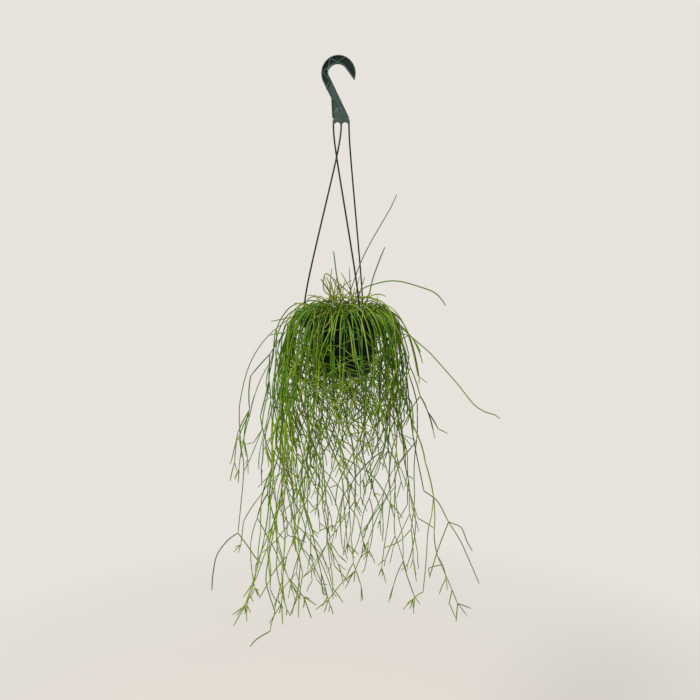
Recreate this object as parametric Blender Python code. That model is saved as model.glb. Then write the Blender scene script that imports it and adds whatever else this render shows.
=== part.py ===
"""A rhipsalis in a six-inch hanging pot, on its moulded hanger with a hook and three strands.

Metres, +Z up, with +X to the right of someone facing the plant and +Y away from them. The origin is the
seat of the hook, where its inner curve rests on what holds it. The pot's axis is the Z axis below it.
"""

import math

import bmesh
import bpy
import numpy as np

# Hook and plate: a flat moulding in the XZ plane, its outer edge an arc and its throat part of an ellipse
HOOK_CENTRE = (-0.0053, -0.0148)
HOOK_RADIUS = 0.0300
HOOK_TIP_ANGLE = -19.0
HOOK_END_ANGLE = 207.0
THROAT_CENTRE = (-0.0065, -0.0135)
THROAT_HALF_WIDTH = 0.0163
THROAT_HALF_HEIGHT = 0.0148
THROAT_START_ANGLE = 40.0
THROAT_END_ANGLE = 215.0
HOOK_INNER_TIP = (0.0217, -0.0244)
HOOK_STATIONS = 13
TIP_STATIONS = 4
PLATE_TOP_LEFT = (-0.0182, -0.0553)
PLATE_BOTTOM_LEFT = (-0.0165, -0.0885)
PLATE_BOTTOM_RIGHT = (0.0132, -0.0885)
HOOK_THICKNESS = 0.0056
WEB_THICKNESS = 0.0020
RIB_WIDTH = 0.0021
RIB_SHARE = 0.35  # the most that one rib takes of the width between the edges

# Foot of the plate, with the two arches between the strands
FOOT_TOP = -0.0905
FOOT_BOTTOM = -0.1010
FOOT_THICKNESS = 0.0036
FOOT_CENTRE = -0.0008
FOOT_NECK_LEFT = 0.0020
FOOT_NECK_RIGHT = 0.0010
FOOT_SINK = 0.0010
ARCH_STEPS = 6
STRAND_PITCH = 0.0137
STRAND_RADIUS = 0.0015
STRAND_SIDES = 6
STRAND_STEPS = 160
STRAND_TOP_BEND = 0.070
STRAND_FOOT_BEND = 0.100
STRAND_WITHIN = 0.0003  # how far a run of strand may leave the curve it stands for
STRAND_SINK = 0.0004

# Pot, with the rim's top at this height below the seat
RIM_TOP = -0.4367
RIM_RADIUS = 0.0760
SKIRT_RADIUS = 0.0752
SKIRT_HEIGHT = 0.0180
WALL = 0.0016
BODY_TOP_RADIUS = 0.0642
BODY_FOOT_RADIUS = 0.0500
BODY_CURVE = 1.8
POT_HEIGHT = 0.1086
RIM_EDGE = 0.0008
BASE_RADIUS = 0.0430
BASE_CORNER_HEIGHT = 0.0060
BASE_BEVEL_WIDTH = 0.0035
BASE_BEVEL_HEIGHT = 0.0016
WALL_STEPS = 4
POT_SIDES = 24
LUG_RADIUS = 0.0706
LUG_ANGLES = (-63.5, 176.0, 56.0)
FLANGE_HOLE_RADIUS = 0.0020
BARB_RADIUS = 0.0030
BARB_SHOULDER = 0.0006
BARB_BAND = 0.0030
BARB_LENGTH = 0.0110
BARB_POINT_RADIUS = 0.0008
HOLE_SIDES = 8
GAP = 0.0003
DRAIN_HOLES = 6
DRAIN_RADIUS = 0.0040
DRAIN_CIRCLE = 0.0290

# Soil, with a blind hole for each crown
SOIL_TOP = RIM_TOP - 0.0120
CROWN_RADIUS = 0.0038
CROWN_DEPTH = 0.0140
CROWN_SIDES = 6
CROWN_FOOT_RADIUS = 0.0030
CROWN_NECK_HEIGHT = 0.0030
CROWN_TOP_RADIUS = 0.0019
CROWN_TOP_HEIGHT = 0.0060
HOLE_CLEARANCE = 0.0005

# Stems
SEED = 3402
CROWNS = 34
CROWN_SPREAD = 0.0520
GOLDEN_ANGLE = math.pi * (3.0 - math.sqrt(5.0))
STEM_RADIUS = 0.0014
TIP_RADIUS = 0.0010
STEM_SIDES = 3
STEP = 0.006
SMOOTH_STEPS = 6
THIN_WITHIN = 0.0027  # how far a run of stem may leave the curve it stands for
ROOT_LIFT = 0.0015
ROOT_OFFSET = 0.0011

# What a stem keeps clear of, and how far from its own root or joint it may touch its own node
STEM_GAP = 0.0004
STRAND_GAP = 0.0006
POT_CLEARANCE = 0.0024
POT_CHECK_STEP = 0.004
ROOT_FREE = 0.012
JOINT_FREE = 0.009
TRIES = 14

# First stems: they rise from the crown, arch over the rim and hang
STEMS_PER_CROWN = 7
LEAN_DEGREES = (14.0, 48.0)
RISE = (0.0, 0.013)
HANG_RADIUS = 0.078
HANG_SPREAD = 0.015
FIRST_DROP = (-0.01, 0.13)
OUTER_HEADING_SPREAD = 0.35
INNER_HEADING_SPREAD = 1.25
ARCH_REACH = 1.25
ARCH_POWER = 1.6
ARCH_LENGTH = 1.7
FLARE = (0.19, 0.96)
FLARE_FADE = 0.22

# Later lengths: they leave a joint and bend down under their own weight
LATER_LENGTH = (0.045, 0.100)
LENGTH_CHANGE = (0.75, 1.25)
SIDE_LENGTH = 0.9
ON_DEGREES = (6.0, 28.0)
SIDE_DEGREES = (24.0, 56.0)
DROOP = 6.0
SWAY = 4.5
SIDE_CHANCE = 0.29
LATER_SIDE_CHANCE = 0.19

# The mass of the plant: a circle at the rim that widens as it hangs, with a foot that rises to the front
FORM_RADIUS = 0.102
FORM_SPREAD = 0.20
FORM_FOOT = -1.000
FORM_FOOT_SLOPE = 0.50
FORM_LOWEST = -1.045
FALL = (0.04, 0.53)
FALL_SHAPE = (0.81, 1.86)
FRONT_SHORTER = 0.16
LEFT_LONGER = 0.25
LEAST_FALL = 0.03

# The stems that stand out of the mass, as points that each one passes, listed from its crown outwards
TALL_SHOOT = ((0.0138, 0.0, -0.3985), (0.0263, 0.002, -0.3604), (0.0365, 0.003, -0.3343),
              (0.0544, 0.004, -0.2995), (0.0864, 0.004, -0.2449), (0.0986, 0.004, -0.2187))
LEFT_SHOOT = ((-0.0030, 0.0, -0.4016), (-0.0100, -0.004, -0.3600), (-0.0149, -0.008, -0.3193))
RIGHT_SHOOT = ((0.0470, 0.016, -0.4082), (0.0573, 0.020, -0.3681), (0.0700, 0.022, -0.3330),
               (0.0791, 0.022, -0.3114))
ARCHING_SHOOT = ((0.0305, -0.014, -0.3944), (0.0599, -0.012, -0.3782), (0.0996, -0.010, -0.3728),
                 (0.1503, -0.010, -0.3863), (0.1723, -0.012, -0.3971), (0.1881, -0.014, -0.4170))
LONG_RIGHT_STEM = ((0.0560, -0.022, -0.4090), (0.0916, -0.030, -0.4416), (0.1273, -0.030, -0.4740),
                   (0.1584, -0.030, -0.5007), (0.1848, -0.030, -0.5296), (0.2123, -0.030, -0.5609),
                   (0.2372, -0.030, -0.5923), (0.2578, -0.030, -0.6084), (0.2781, -0.030, -0.6150),
                   (0.2894, -0.030, -0.6230))
OUTER_LEFT_STEM = ((-0.0620, -0.006, -0.4170), (-0.0896, -0.010, -0.4361), (-0.1297, -0.012, -0.4672),
                   (-0.1571, -0.014, -0.5014), (-0.1759, -0.014, -0.5415), (-0.1885, -0.016, -0.5943),
                   (-0.1904, -0.018, -0.6248), (-0.1884, -0.020, -0.6761), (-0.1839, -0.022, -0.7256),
                   (-0.1982, -0.020, -0.8485))
OUTER_LEFT_TIP = ((-0.1982, -0.020, -0.8485), (-0.2176, -0.020, -0.8626), (-0.2395, -0.021, -0.8929),
                  (-0.2484, -0.022, -0.9337), (-0.2513, -0.022, -0.9646))
OUTER_LEFT_FORK = ((-0.1982, -0.020, -0.8485), (-0.1797, -0.024, -0.8727), (-0.1655, -0.028, -0.8929),
                   (-0.1519, -0.030, -0.9072))
LOW_LEFT_STEM = ((-0.0480, -0.038, -0.4240), (-0.0650, -0.053, -0.4110), (-0.0830, -0.067, -0.4300),
                 (-0.0920, -0.074, -0.4700), (-0.0960, -0.076, -0.6000), (-0.1080, -0.066, -0.7400),
                 (-0.1393, -0.040, -0.8927))
LOW_LEFT_NEXT = ((-0.1393, -0.040, -0.8927), (-0.1438, -0.042, -0.9328), (-0.1361, -0.044, -0.9650),
                 (-0.1274, -0.044, -0.9973))
LOW_LEFT_LAST = ((-0.1274, -0.044, -0.9973), (-0.1345, -0.044, -1.0180), (-0.1374, -0.044, -1.0345))
LOWEST_TIP = ((-0.1374, -0.044, -1.0345), (-0.1632, -0.042, -1.0522), (-0.1776, -0.040, -1.0698))
OUTER_RIGHT_STEM = ((0.0660, -0.032, -0.4130), (0.0920, -0.044, -0.4320), (0.1070, -0.050, -0.4750),
                    (0.1180, -0.050, -0.5600), (0.1290, -0.044, -0.6500), (0.1532, -0.024, -0.7633))
OUTER_RIGHT_NEXT = ((0.1532, -0.024, -0.7633), (0.1796, -0.022, -0.7850), (0.2011, -0.022, -0.8256))
OUTER_RIGHT_TIP = ((0.2011, -0.022, -0.8256), (0.2250, -0.022, -0.8645), (0.2471, -0.024, -0.9134),
                   (0.2621, -0.026, -0.9482))
OUTER_RIGHT_FORK = ((0.2011, -0.022, -0.8256), (0.2266, -0.014, -0.8402), (0.2390, -0.010, -0.8693),
                    (0.2512, -0.008, -0.8913))
OUTER_RIGHT_DROP = ((0.2011, -0.022, -0.8256), (0.1815, -0.026, -0.8792), (0.1661, -0.030, -0.9326))

# The placed stems by crown: the first leaves the crown, and the others leave a joint on it
PLACED = {
    0: (TALL_SHOOT,),
    1: (LEFT_SHOOT,),
    5: (ARCHING_SHOOT,),
    8: (RIGHT_SHOOT,),
    13: (LONG_RIGHT_STEM,),
    17: (OUTER_LEFT_STEM, OUTER_LEFT_TIP, OUTER_LEFT_FORK),
    26: (OUTER_RIGHT_STEM, OUTER_RIGHT_NEXT, OUTER_RIGHT_TIP, OUTER_RIGHT_FORK, OUTER_RIGHT_DROP),
    33: (LOW_LEFT_STEM, LOW_LEFT_NEXT, LOW_LEFT_LAST, LOWEST_TIP),
}
SHOOTS_ONLY = (0, 1, 8)

for old in list(bpy.data.objects):
    bpy.data.objects.remove(old)


def material(name, colour, roughness):
    made = bpy.data.materials.new(name)
    made.use_nodes = True
    shader = made.node_tree.nodes["Principled BSDF"]
    shader.inputs["Base Color"].default_value = (*colour, 1.0)
    shader.inputs["Roughness"].default_value = roughness
    shader.inputs["Metallic"].default_value = 0.0
    return made


def add_object(name, mesh_maker, finish, smooth=True):
    """An object with the mesh that the maker leaves in a bmesh, its faces pointing outwards."""
    shape = bmesh.new()
    mesh_maker(shape)
    bmesh.ops.recalc_face_normals(shape, faces=shape.faces)
    mesh = bpy.data.meshes.new(name)
    shape.to_mesh(mesh)
    shape.free()
    mesh.materials.append(finish)
    if smooth:
        mesh.shade_smooth()
        mesh.set_sharp_from_angle(angle=math.radians(40))
    made = bpy.data.objects.new(name, mesh)
    bpy.context.scene.collection.objects.link(made)
    return made


def apply_boolean(target, operation, others, solver="EXACT"):
    """Joins the other objects to the target, or cuts them out of it, and removes them."""
    group = bpy.data.collections.new(target.name + "_others")
    for other in others:
        group.objects.link(other)
    step = target.modifiers.new("Boolean", "BOOLEAN")
    step.operation = operation
    step.operand_type = "COLLECTION"
    step.collection = group
    step.solver = solver
    with bpy.context.temp_override(object=target, active_object=target):
        bpy.ops.object.modifier_apply(modifier=step.name)
    for other in others:
        mesh = other.data
        bpy.data.objects.remove(other)
        bpy.data.meshes.remove(mesh)
    bpy.data.collections.remove(group)


def unit(vector):
    return vector / np.linalg.norm(vector)


def tube(shape, points, radii, sides):
    """A closed tube round a line of points, with a flat cap at each end."""
    points = np.array(points)
    runs = [unit(b - a) for a, b in zip(points, points[1:])]
    tangents = [runs[0]] + [unit(a + b) for a, b in zip(runs, runs[1:])] + [runs[-1]]
    level = np.array((1.0, 0.0, 0.0)) if abs(tangents[0][0]) < 0.9 else np.array((0.0, 1.0, 0.0))
    across = unit(np.cross(tangents[0], level))
    rings = []
    for point, tangent, radius in zip(points, tangents, radii):
        across = unit(across - tangent * np.dot(across, tangent))
        beside = np.cross(tangent, across)
        turns = [2.0 * math.pi * k / sides for k in range(sides)]
        rings.append([
            shape.verts.new(point + radius * (math.cos(a) * across + math.sin(a) * beside)) for a in turns
        ])
    for ring, following in zip(rings, rings[1:]):
        for k in range(sides):
            after = (k + 1) % sides
            shape.faces.new((ring[k], ring[after], following[after], following[k]))
    shape.faces.new(rings[0][::-1])
    shape.faces.new(rings[-1])


def turned(shape, profile, sides):
    """A solid of revolution from a profile of radius and height that starts and ends on the axis."""
    rings = []
    for radius, height in profile:
        if radius == 0.0:
            rings.append([shape.verts.new((0.0, 0.0, height))])
            continue
        turns = [2.0 * math.pi * k / sides for k in range(sides)]
        rings.append([
            shape.verts.new((radius * math.cos(a), radius * math.sin(a), height)) for a in turns
        ])
    for ring, following in zip(rings, rings[1:]):
        for k in range(sides):
            after = (k + 1) % sides
            corners = [ring[k % len(ring)], ring[after % len(ring)],
                       following[after % len(following)], following[k % len(following)]]
            shape.faces.new(list(dict.fromkeys(corners)))


def around(radius, degrees, height):
    """The point at this radius and angle round the pot's axis."""
    return np.array((
        radius * math.cos(math.radians(degrees)), radius * math.sin(math.radians(degrees)), height
    ))


# Hook, plate and strands
def hook_edges():
    """Pairs of outer and inner points in the XZ plane, from the hook's tip down to the plate's end."""
    pairs = []
    joint = (
        THROAT_CENTRE[0] + THROAT_HALF_WIDTH * math.cos(math.radians(THROAT_START_ANGLE)),
        THROAT_CENTRE[1] + THROAT_HALF_HEIGHT * math.sin(math.radians(THROAT_START_ANGLE)),
    )
    for i in range(HOOK_STATIONS):
        along = i / (HOOK_STATIONS - 1)
        angle = math.radians(HOOK_TIP_ANGLE + (HOOK_END_ANGLE - HOOK_TIP_ANGLE) * along)
        outer = (HOOK_CENTRE[0] + HOOK_RADIUS * math.cos(angle),
                 HOOK_CENTRE[1] + HOOK_RADIUS * math.sin(angle))
        if i < TIP_STATIONS:
            part = i / TIP_STATIONS
            inner = (HOOK_INNER_TIP[0] + (joint[0] - HOOK_INNER_TIP[0]) * part,
                     HOOK_INNER_TIP[1] + (joint[1] - HOOK_INNER_TIP[1]) * part)
        else:
            part = (i - TIP_STATIONS) / (HOOK_STATIONS - 1 - TIP_STATIONS)
            turn = math.radians(THROAT_START_ANGLE + (THROAT_END_ANGLE - THROAT_START_ANGLE) * part)
            inner = (THROAT_CENTRE[0] + THROAT_HALF_WIDTH * math.cos(turn),
                     THROAT_CENTRE[1] + THROAT_HALF_HEIGHT * math.sin(turn))
        pairs.append((outer, inner))
    throat_end = pairs[-1][1]
    for outer in (PLATE_TOP_LEFT, PLATE_BOTTOM_LEFT):
        part = (throat_end[1] - outer[1]) / (throat_end[1] - PLATE_BOTTOM_RIGHT[1])
        pairs.append((outer, (throat_end[0] + (PLATE_BOTTOM_RIGHT[0] - throat_end[0]) * part, outer[1])))
    return pairs


def ribbed_strip(shape):
    """The hook and shank: a thin web between two thicker ribs that follow its edges."""
    rib, web = HOOK_THICKNESS / 2, WEB_THICKNESS / 2
    rings = []
    for outer, inner in hook_edges():
        outer, inner = np.array(outer), np.array(inner)
        span = np.linalg.norm(inner - outer)
        inset = min(RIB_WIDTH, RIB_SHARE * span) / span
        near, far = outer + (inner - outer) * inset, inner - (inner - outer) * inset
        section = ((outer, -rib), (near, -rib), (near, -web), (far, -web), (far, -rib), (inner, -rib),
                   (inner, rib), (far, rib), (far, web), (near, web), (near, rib), (outer, rib))
        rings.append([shape.verts.new((p[0], y, p[1])) for p, y in section])
    for ring, following in zip(rings, rings[1:]):
        for k in range(len(ring)):
            after = (k + 1) % len(ring)
            shape.faces.new((ring[k], ring[after], following[after], following[k]))
    shape.faces.new(rings[0])
    shape.faces.new(rings[-1])


def plate_foot(shape):
    """The bar under the plate with two round-topped arches, cut from its lower edge."""
    half = STRAND_PITCH + STRAND_RADIUS
    arch = STRAND_PITCH / 2 - STRAND_RADIUS
    left, right = PLATE_BOTTOM_LEFT[0] + FOOT_NECK_LEFT, PLATE_BOTTOM_RIGHT[0] - FOOT_NECK_RIGHT
    sunk = PLATE_BOTTOM_LEFT[1] + FOOT_SINK
    far_left, far_right = FOOT_CENTRE - half, FOOT_CENTRE + half
    outline = [(far_right, FOOT_BOTTOM), (far_right, FOOT_TOP), (right, FOOT_TOP), (right, sunk),
               (left, sunk), (left, FOOT_TOP), (far_left, FOOT_TOP), (far_left, FOOT_BOTTOM)]
    for centre in (FOOT_CENTRE - STRAND_PITCH / 2, FOOT_CENTRE + STRAND_PITCH / 2):
        for k in range(ARCH_STEPS + 1):
            turn = math.pi - math.pi * k / ARCH_STEPS
            outline.append((centre + arch * math.cos(turn), FOOT_BOTTOM + arch * math.sin(turn)))
    corners = [shape.verts.new((x, -FOOT_THICKNESS / 2, z)) for x, z in outline]
    face = shape.faces.new(corners)
    raised = bmesh.ops.extrude_face_region(shape, geom=[face])["geom"]
    moved = [item for item in raised if isinstance(item, bmesh.types.BMVert)]
    bmesh.ops.translate(shape, verts=moved, vec=(0.0, FOOT_THICKNESS, 0.0))


def strand_line(index):
    """Points down one strand: it leaves the foot straight down, runs straight and turns into its hole."""
    start = np.array((FOOT_CENTRE + (index - 1) * STRAND_PITCH, 0.0, FOOT_BOTTOM + STRAND_SINK))
    end = around(LUG_RADIUS, LUG_ANGLES[index], RIM_TOP + GAP)
    share = np.linspace(0.0, 1.0, STRAND_STEPS + 1)
    lean = (1.0 - np.exp(-share / STRAND_TOP_BEND)) * (1.0 - np.exp((share - 1.0) / STRAND_FOOT_BEND))
    moved = np.append(0.0, np.cumsum((lean[1:] + lean[:-1]) / 2))
    moved /= moved[-1]
    return thin(start + (end - start) * np.column_stack((moved, moved, share)), STRAND_WITHIN)


def barbed_strand(shape, index):
    """One strand, which passes the hole and widens into a barb under the flange."""
    points = list(strand_line(index))
    radii = [STRAND_RADIUS] * len(points)
    under = RIM_TOP - WALL - GAP
    foot = points[-1]
    for drop, radius in ((0.0, STRAND_RADIUS), (BARB_SHOULDER, BARB_RADIUS), (BARB_BAND, BARB_RADIUS),
                         (BARB_LENGTH, BARB_POINT_RADIUS)):
        points.append(np.array((foot[0], foot[1], under - drop)))
        radii.append(radius)
    tube(shape, points, radii, STRAND_SIDES)


def build_hanger():
    finish = material("hanger_plastic", (0.030, 0.058, 0.046), 0.42)
    hanger = add_object("hanger", ribbed_strip, finish)
    others = [add_object("plate_foot", plate_foot, finish)]
    for index in range(3):
        others.append(add_object(f"strand_{index}", lambda s, i=index: barbed_strand(s, i), finish))
    apply_boolean(hanger, "UNION", others)


# Pot and soil
def body_radius(depth):
    """The outer radius of the pot's wall at this depth under the rim's top."""
    part = np.clip(depth / POT_HEIGHT, 0.0, 1.0)
    return BODY_TOP_RADIUS - (BODY_TOP_RADIUS - BODY_FOOT_RADIUS) * part ** BODY_CURVE


def wall_line(inset, from_depth):
    """Radius and height down the wall to the flat of the base, moved inwards by the inset."""
    line = []
    last_depth = POT_HEIGHT - BASE_CORNER_HEIGHT
    for i in range(WALL_STEPS + 1):
        depth = from_depth + (last_depth - from_depth) * i / WALL_STEPS
        line.append((float(body_radius(depth)) - inset, RIM_TOP - depth))
    base = RIM_TOP - POT_HEIGHT
    line.append((BASE_RADIUS + BASE_BEVEL_WIDTH - inset, base + BASE_BEVEL_HEIGHT + inset * 0.75))
    line.append((BASE_RADIUS - inset, base + inset))
    return line


def pot_profile():
    outside = wall_line(0.0, WALL)
    inside = wall_line(WALL, RIM_EDGE)
    skirt_bottom = RIM_TOP - SKIRT_HEIGHT
    return (
        [(0.0, RIM_TOP - POT_HEIGHT)]
        + outside[::-1]
        + [(RIM_RADIUS - WALL, RIM_TOP - WALL), (SKIRT_RADIUS - WALL, skirt_bottom),
           (SKIRT_RADIUS, skirt_bottom), (RIM_RADIUS, RIM_TOP - RIM_EDGE), (RIM_RADIUS - RIM_EDGE, RIM_TOP),
           (BODY_TOP_RADIUS - WALL + RIM_EDGE, RIM_TOP)]
        + inside
        + [(0.0, RIM_TOP - POT_HEIGHT + WALL)]
    )


def upright_cutter(name, x, y, low, high, radius, sides, finish):
    line = ((x, y, low), (x, y, high))
    return add_object(name, lambda s: tube(s, line, (radius, radius), sides), finish)


def build_pot():
    finish = material("pot_plastic", (0.018, 0.036, 0.032), 0.38)
    pot = add_object("pot", lambda s: turned(s, pot_profile(), POT_SIDES), finish)
    cutters = []
    for k, angle in enumerate(LUG_ANGLES):
        x, y, _ = around(LUG_RADIUS, angle, 0.0)
        cutters.append(upright_cutter(
            f"strand_hole_{k}", x, y, RIM_TOP - 2 * WALL, RIM_TOP + WALL, FLANGE_HOLE_RADIUS, HOLE_SIDES,
            finish))
    base = RIM_TOP - POT_HEIGHT
    for k in range(DRAIN_HOLES):
        x, y, _ = around(DRAIN_CIRCLE, 360.0 * k / DRAIN_HOLES, 0.0)
        cutters.append(upright_cutter(
            f"drain_{k}", x, y, base - WALL, base + 2 * WALL, DRAIN_RADIUS, HOLE_SIDES, finish))
    apply_boolean(pot, "DIFFERENCE", cutters)


def crown_place(index):
    """The crowns stand in the soil on a sunflower's spiral, evenly spread."""
    radius = CROWN_SPREAD * math.sqrt((index + 0.5) / CROWNS)
    angle = index * GOLDEN_ANGLE
    return np.array((radius * math.cos(angle), radius * math.sin(angle), SOIL_TOP))


def build_soil():
    finish = material("potting_mix", (0.045, 0.028, 0.018), 0.95)
    inset = WALL + GAP
    depth = RIM_TOP - SOIL_TOP
    profile = (
        [(0.0, RIM_TOP - POT_HEIGHT + inset)]
        + wall_line(inset, depth)[::-1]
        + [(0.0, SOIL_TOP)]
    )
    soil = add_object("soil", lambda s: turned(s, profile, POT_SIDES), finish)
    holes = []
    for index in range(CROWNS):
        x, y, _ = crown_place(index)
        holes.append(upright_cutter(
            f"crown_hole_{index}", x, y, SOIL_TOP - CROWN_DEPTH - HOLE_CLEARANCE, SOIL_TOP + CROWN_RADIUS,
            CROWN_RADIUS + HOLE_CLEARANCE, CROWN_SIDES, finish))
    apply_boolean(soil, "DIFFERENCE", holes)


# What each stem has to stay clear of: straight runs with a radius, each owned by a node
class Space:
    def __init__(self):
        self.starts, self.ends = np.empty((0, 3)), np.empty((0, 3))
        self.radii, self.owners = np.empty(0), np.empty(0, int)

    def fill(self, line, radius, owner):
        line = np.array(line)
        count = len(line) - 1
        self.starts = np.vstack((self.starts, line[:-1]))
        self.ends = np.vstack((self.ends, line[1:]))
        self.radii = np.append(self.radii, np.full(count, radius))
        self.owners = np.append(self.owners, np.full(count, owner))

    def is_clear(self, line, radius, owner, free):
        """Whether the line keeps its gap to every run, and past its free first length to its own node's."""
        reach = radius + CROWN_RADIUS + STEM_GAP
        low, high = line.min(axis=0) - reach, line.max(axis=0) + reach
        near = (
            (np.maximum(self.starts, self.ends) > low).all(axis=1)
            & (np.minimum(self.starts, self.ends) < high).all(axis=1)
        )
        later = line.copy()
        later[0] += (line[1] - line[0]) * min(0.95, free / np.linalg.norm(line[1] - line[0]))
        own = self.owners == owner
        for chosen, tested in ((near & ~own, line), (near & own, later)):
            if not chosen.any():
                continue
            apart = run_distances(tested[:-1], tested[1:], self.starts[chosen], self.ends[chosen])
            if (apart < radius + self.radii[chosen] + STEM_GAP).any():
                return False
        return True


def run_distances(starts, ends, other_starts, other_ends):
    """The least distance from each straight run to each of the others."""
    way = (ends - starts)[:, None]
    other_way = (other_ends - other_starts)[None]
    between = starts[:, None] - other_starts[None]
    a = (way * way).sum(axis=2)
    e = (other_way * other_way).sum(axis=2)
    b = (way * other_way).sum(axis=2)
    c = (way * between).sum(axis=2)
    f = (other_way * between).sum(axis=2)
    spread = a * e - b * b
    s = np.clip(np.where(spread > 1e-14, (b * f - c * e) / np.maximum(spread, 1e-14), 0.0), 0.0, 1.0)
    t = np.clip((b * s + f) / e, 0.0, 1.0)
    s = np.clip((b * t - c) / a, 0.0, 1.0)
    return np.linalg.norm(between + way * s[..., None] - other_way * t[..., None], axis=2)


def clears_pot(line):
    """Whether points along the line stay off the rim, the wall and the soil."""
    dense = [line[0]]
    for start, end in zip(line, line[1:]):
        count = max(1, int(np.linalg.norm(end - start) / POT_CHECK_STEP))
        dense += [start + (end - start) * k / count for k in range(1, count + 1)]
    dense = np.array(dense[1:])
    radius, height = np.hypot(dense[:, 0], dense[:, 1]), dense[:, 2]
    room = POT_CLEARANCE + STEM_RADIUS
    depth = RIM_TOP - height
    inner = BODY_TOP_RADIUS - WALL - room
    above_skirt_foot = depth < SKIRT_HEIGHT + room
    on_rim = (radius > inner) & (radius < RIM_RADIUS + room) & (depth > -room) & above_skirt_foot
    in_body = (depth > SKIRT_HEIGHT) & (depth < POT_HEIGHT + room) & (radius < body_radius(depth) + room)
    in_soil = (radius <= inner) & (height < SOIL_TOP + STEM_RADIUS) & above_skirt_foot
    return not (on_rim | in_body | in_soil).any()


def keeps_form(line):
    """Whether the line stays inside the mass of the plant, which widens as it hangs."""
    depth = np.maximum(RIM_TOP - line[:, 2], 0.0)
    radius = np.hypot(line[:, 0], line[:, 1])
    foot = max(FORM_LOWEST, FORM_FOOT - FORM_FOOT_SLOPE * line[-1][1])
    return bool((radius < FORM_RADIUS + FORM_SPREAD * depth).all() and line[-1][2] > foot)


def has_room(space, line, owner, free):
    return keeps_form(line) and clears_pot(line) and space.is_clear(line, STEM_RADIUS, owner, free)


# How a stem grows
def thin(points, within):
    """The fewest of the points that keep the line within this distance of all of them."""
    start, end = points[0], points[-1]
    way = unit(end - start)
    off = points - start
    away = np.linalg.norm(off - np.outer(off @ way, way), axis=1)
    furthest = int(away.argmax())
    if len(points) < 3 or away[furthest] <= within:
        return np.array((start, end))
    first, second = thin(points[: furthest + 1], within), thin(points[furthest:], within)
    return np.vstack((first[:-1], second))


def arching(rng, base, heading, rise, reach, flare, length):
    """A first stem: it rises from the crown, arches out over the rim and hangs."""
    lean = math.radians(rng.uniform(*LEAN_DEGREES))
    sway, phase, drift, wave = rng.uniform(-1, 1, 4)
    turn_length = reach / ARCH_REACH
    points = [base]
    for i in range(int(length / STEP)):
        s = (i + 0.5) * STEP
        turned_by = 1.0 - math.exp(-((max(s - rise, 0.0) / turn_length) ** ARCH_POWER))
        hang = math.pi - flare * math.exp(-s / FLARE_FADE)
        tilt = lean + (hang - lean) * turned_by + 0.07 * sway * math.sin(s / 0.045 + 3.0 * phase)
        way = heading + 1.2 * drift * s + 0.10 * wave * math.sin(s / 0.030)
        points.append(points[-1] + STEP * np.array((
            math.sin(tilt) * math.cos(way), math.sin(tilt) * math.sin(way), math.cos(tilt))))
    return np.array(points)


def young(rng, start, way, length):
    """A later length of stem: it sets off from a joint and bends down under its own weight."""
    points = [start]
    pull = STEP * np.array((SWAY * rng.uniform(-1, 1), SWAY * rng.uniform(-1, 1), -DROOP))
    for _ in range(max(2, int(length / STEP))):
        way = unit(way + pull)
        points.append(points[-1] + way * STEP)
    return np.array(points)


def splayed(rng, way, low, high):
    """The direction turned aside by an angle between low and high degrees, any way round."""
    level = np.array((0.36, 0.48, 0.8))
    side = unit(np.cross(way, level))
    other = np.cross(way, side)
    angle, turn = math.radians(rng.uniform(low, high)), rng.uniform(0, 2 * math.pi)
    return math.cos(angle) * way + math.sin(angle) * (math.cos(turn) * side + math.sin(turn) * other)


def grow_on(rng, space, owner, start, way, length, low, high):
    """A later length of stem that clears everything, or nothing where there is no room for one."""
    for _ in range(TRIES):
        points = young(rng, start, splayed(rng, way, low, high), length * rng.uniform(*LENGTH_CHANGE))
        points = thin(points, THIN_WITHIN)
        if has_room(space, points, owner, JOINT_FREE):
            return points
    return None


def grow_branch(rng, space, owner, line, lengths, chance):
    """The line goes on at each joint, and throws side shoots there that grow in the same way."""
    joints = []
    for order in range(len(lengths)):
        way = unit(line[-1] - line[-2])
        joints.append((line[-1], way, lengths[order:]))
        longer = grow_on(rng, space, owner, line[-1], way, lengths[order], *ON_DEGREES)
        if longer is None:
            break
        line = np.vstack((line, longer[1:]))
    space.fill(line, STEM_RADIUS, owner)
    lines = [line]
    for joint, way, rest in joints:
        if rng.random() > chance:
            continue
        side = grow_on(rng, space, owner, joint, way, rest[0] * SIDE_LENGTH, *SIDE_DEGREES)
        if side is not None:
            lines += grow_branch(rng, space, owner, side, rest[1:], LATER_SIDE_CHANCE)
    return lines


def first_stem(rng, space, owner, crown):
    """The crown's next arching stem, drawn again until it clears the rim and the other nodes."""
    radius = math.hypot(crown[0], crown[1])
    outward = math.atan2(crown[1], crown[0])
    inner_share = 1.0 - radius / CROWN_SPREAD
    spread = OUTER_HEADING_SPREAD + (INNER_HEADING_SPREAD - OUTER_HEADING_SPREAD) * inner_share
    for _ in range(TRIES * 3):
        heading = outward + rng.normal(0.0, spread)
        hang_at = HANG_RADIUS + HANG_SPREAD * rng.beta(1.1, 1.7)
        reach = hang_at - radius * math.cos(heading - outward)
        rise = rng.uniform(*RISE)
        length = rise + reach * ARCH_LENGTH + rng.uniform(*FIRST_DROP)
        beside = (ROOT_OFFSET * math.cos(heading), ROOT_OFFSET * math.sin(heading), ROOT_LIFT)
        flare = FLARE[0] + (FLARE[1] - FLARE[0]) * rng.beta(1.0, 1.5)
        points = arching(rng, crown + np.array(beside), heading, rise, reach, flare, length)
        points = thin(points, THIN_WITHIN)
        if has_room(space, points, owner, ROOT_FREE):
            return points
    return None


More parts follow.
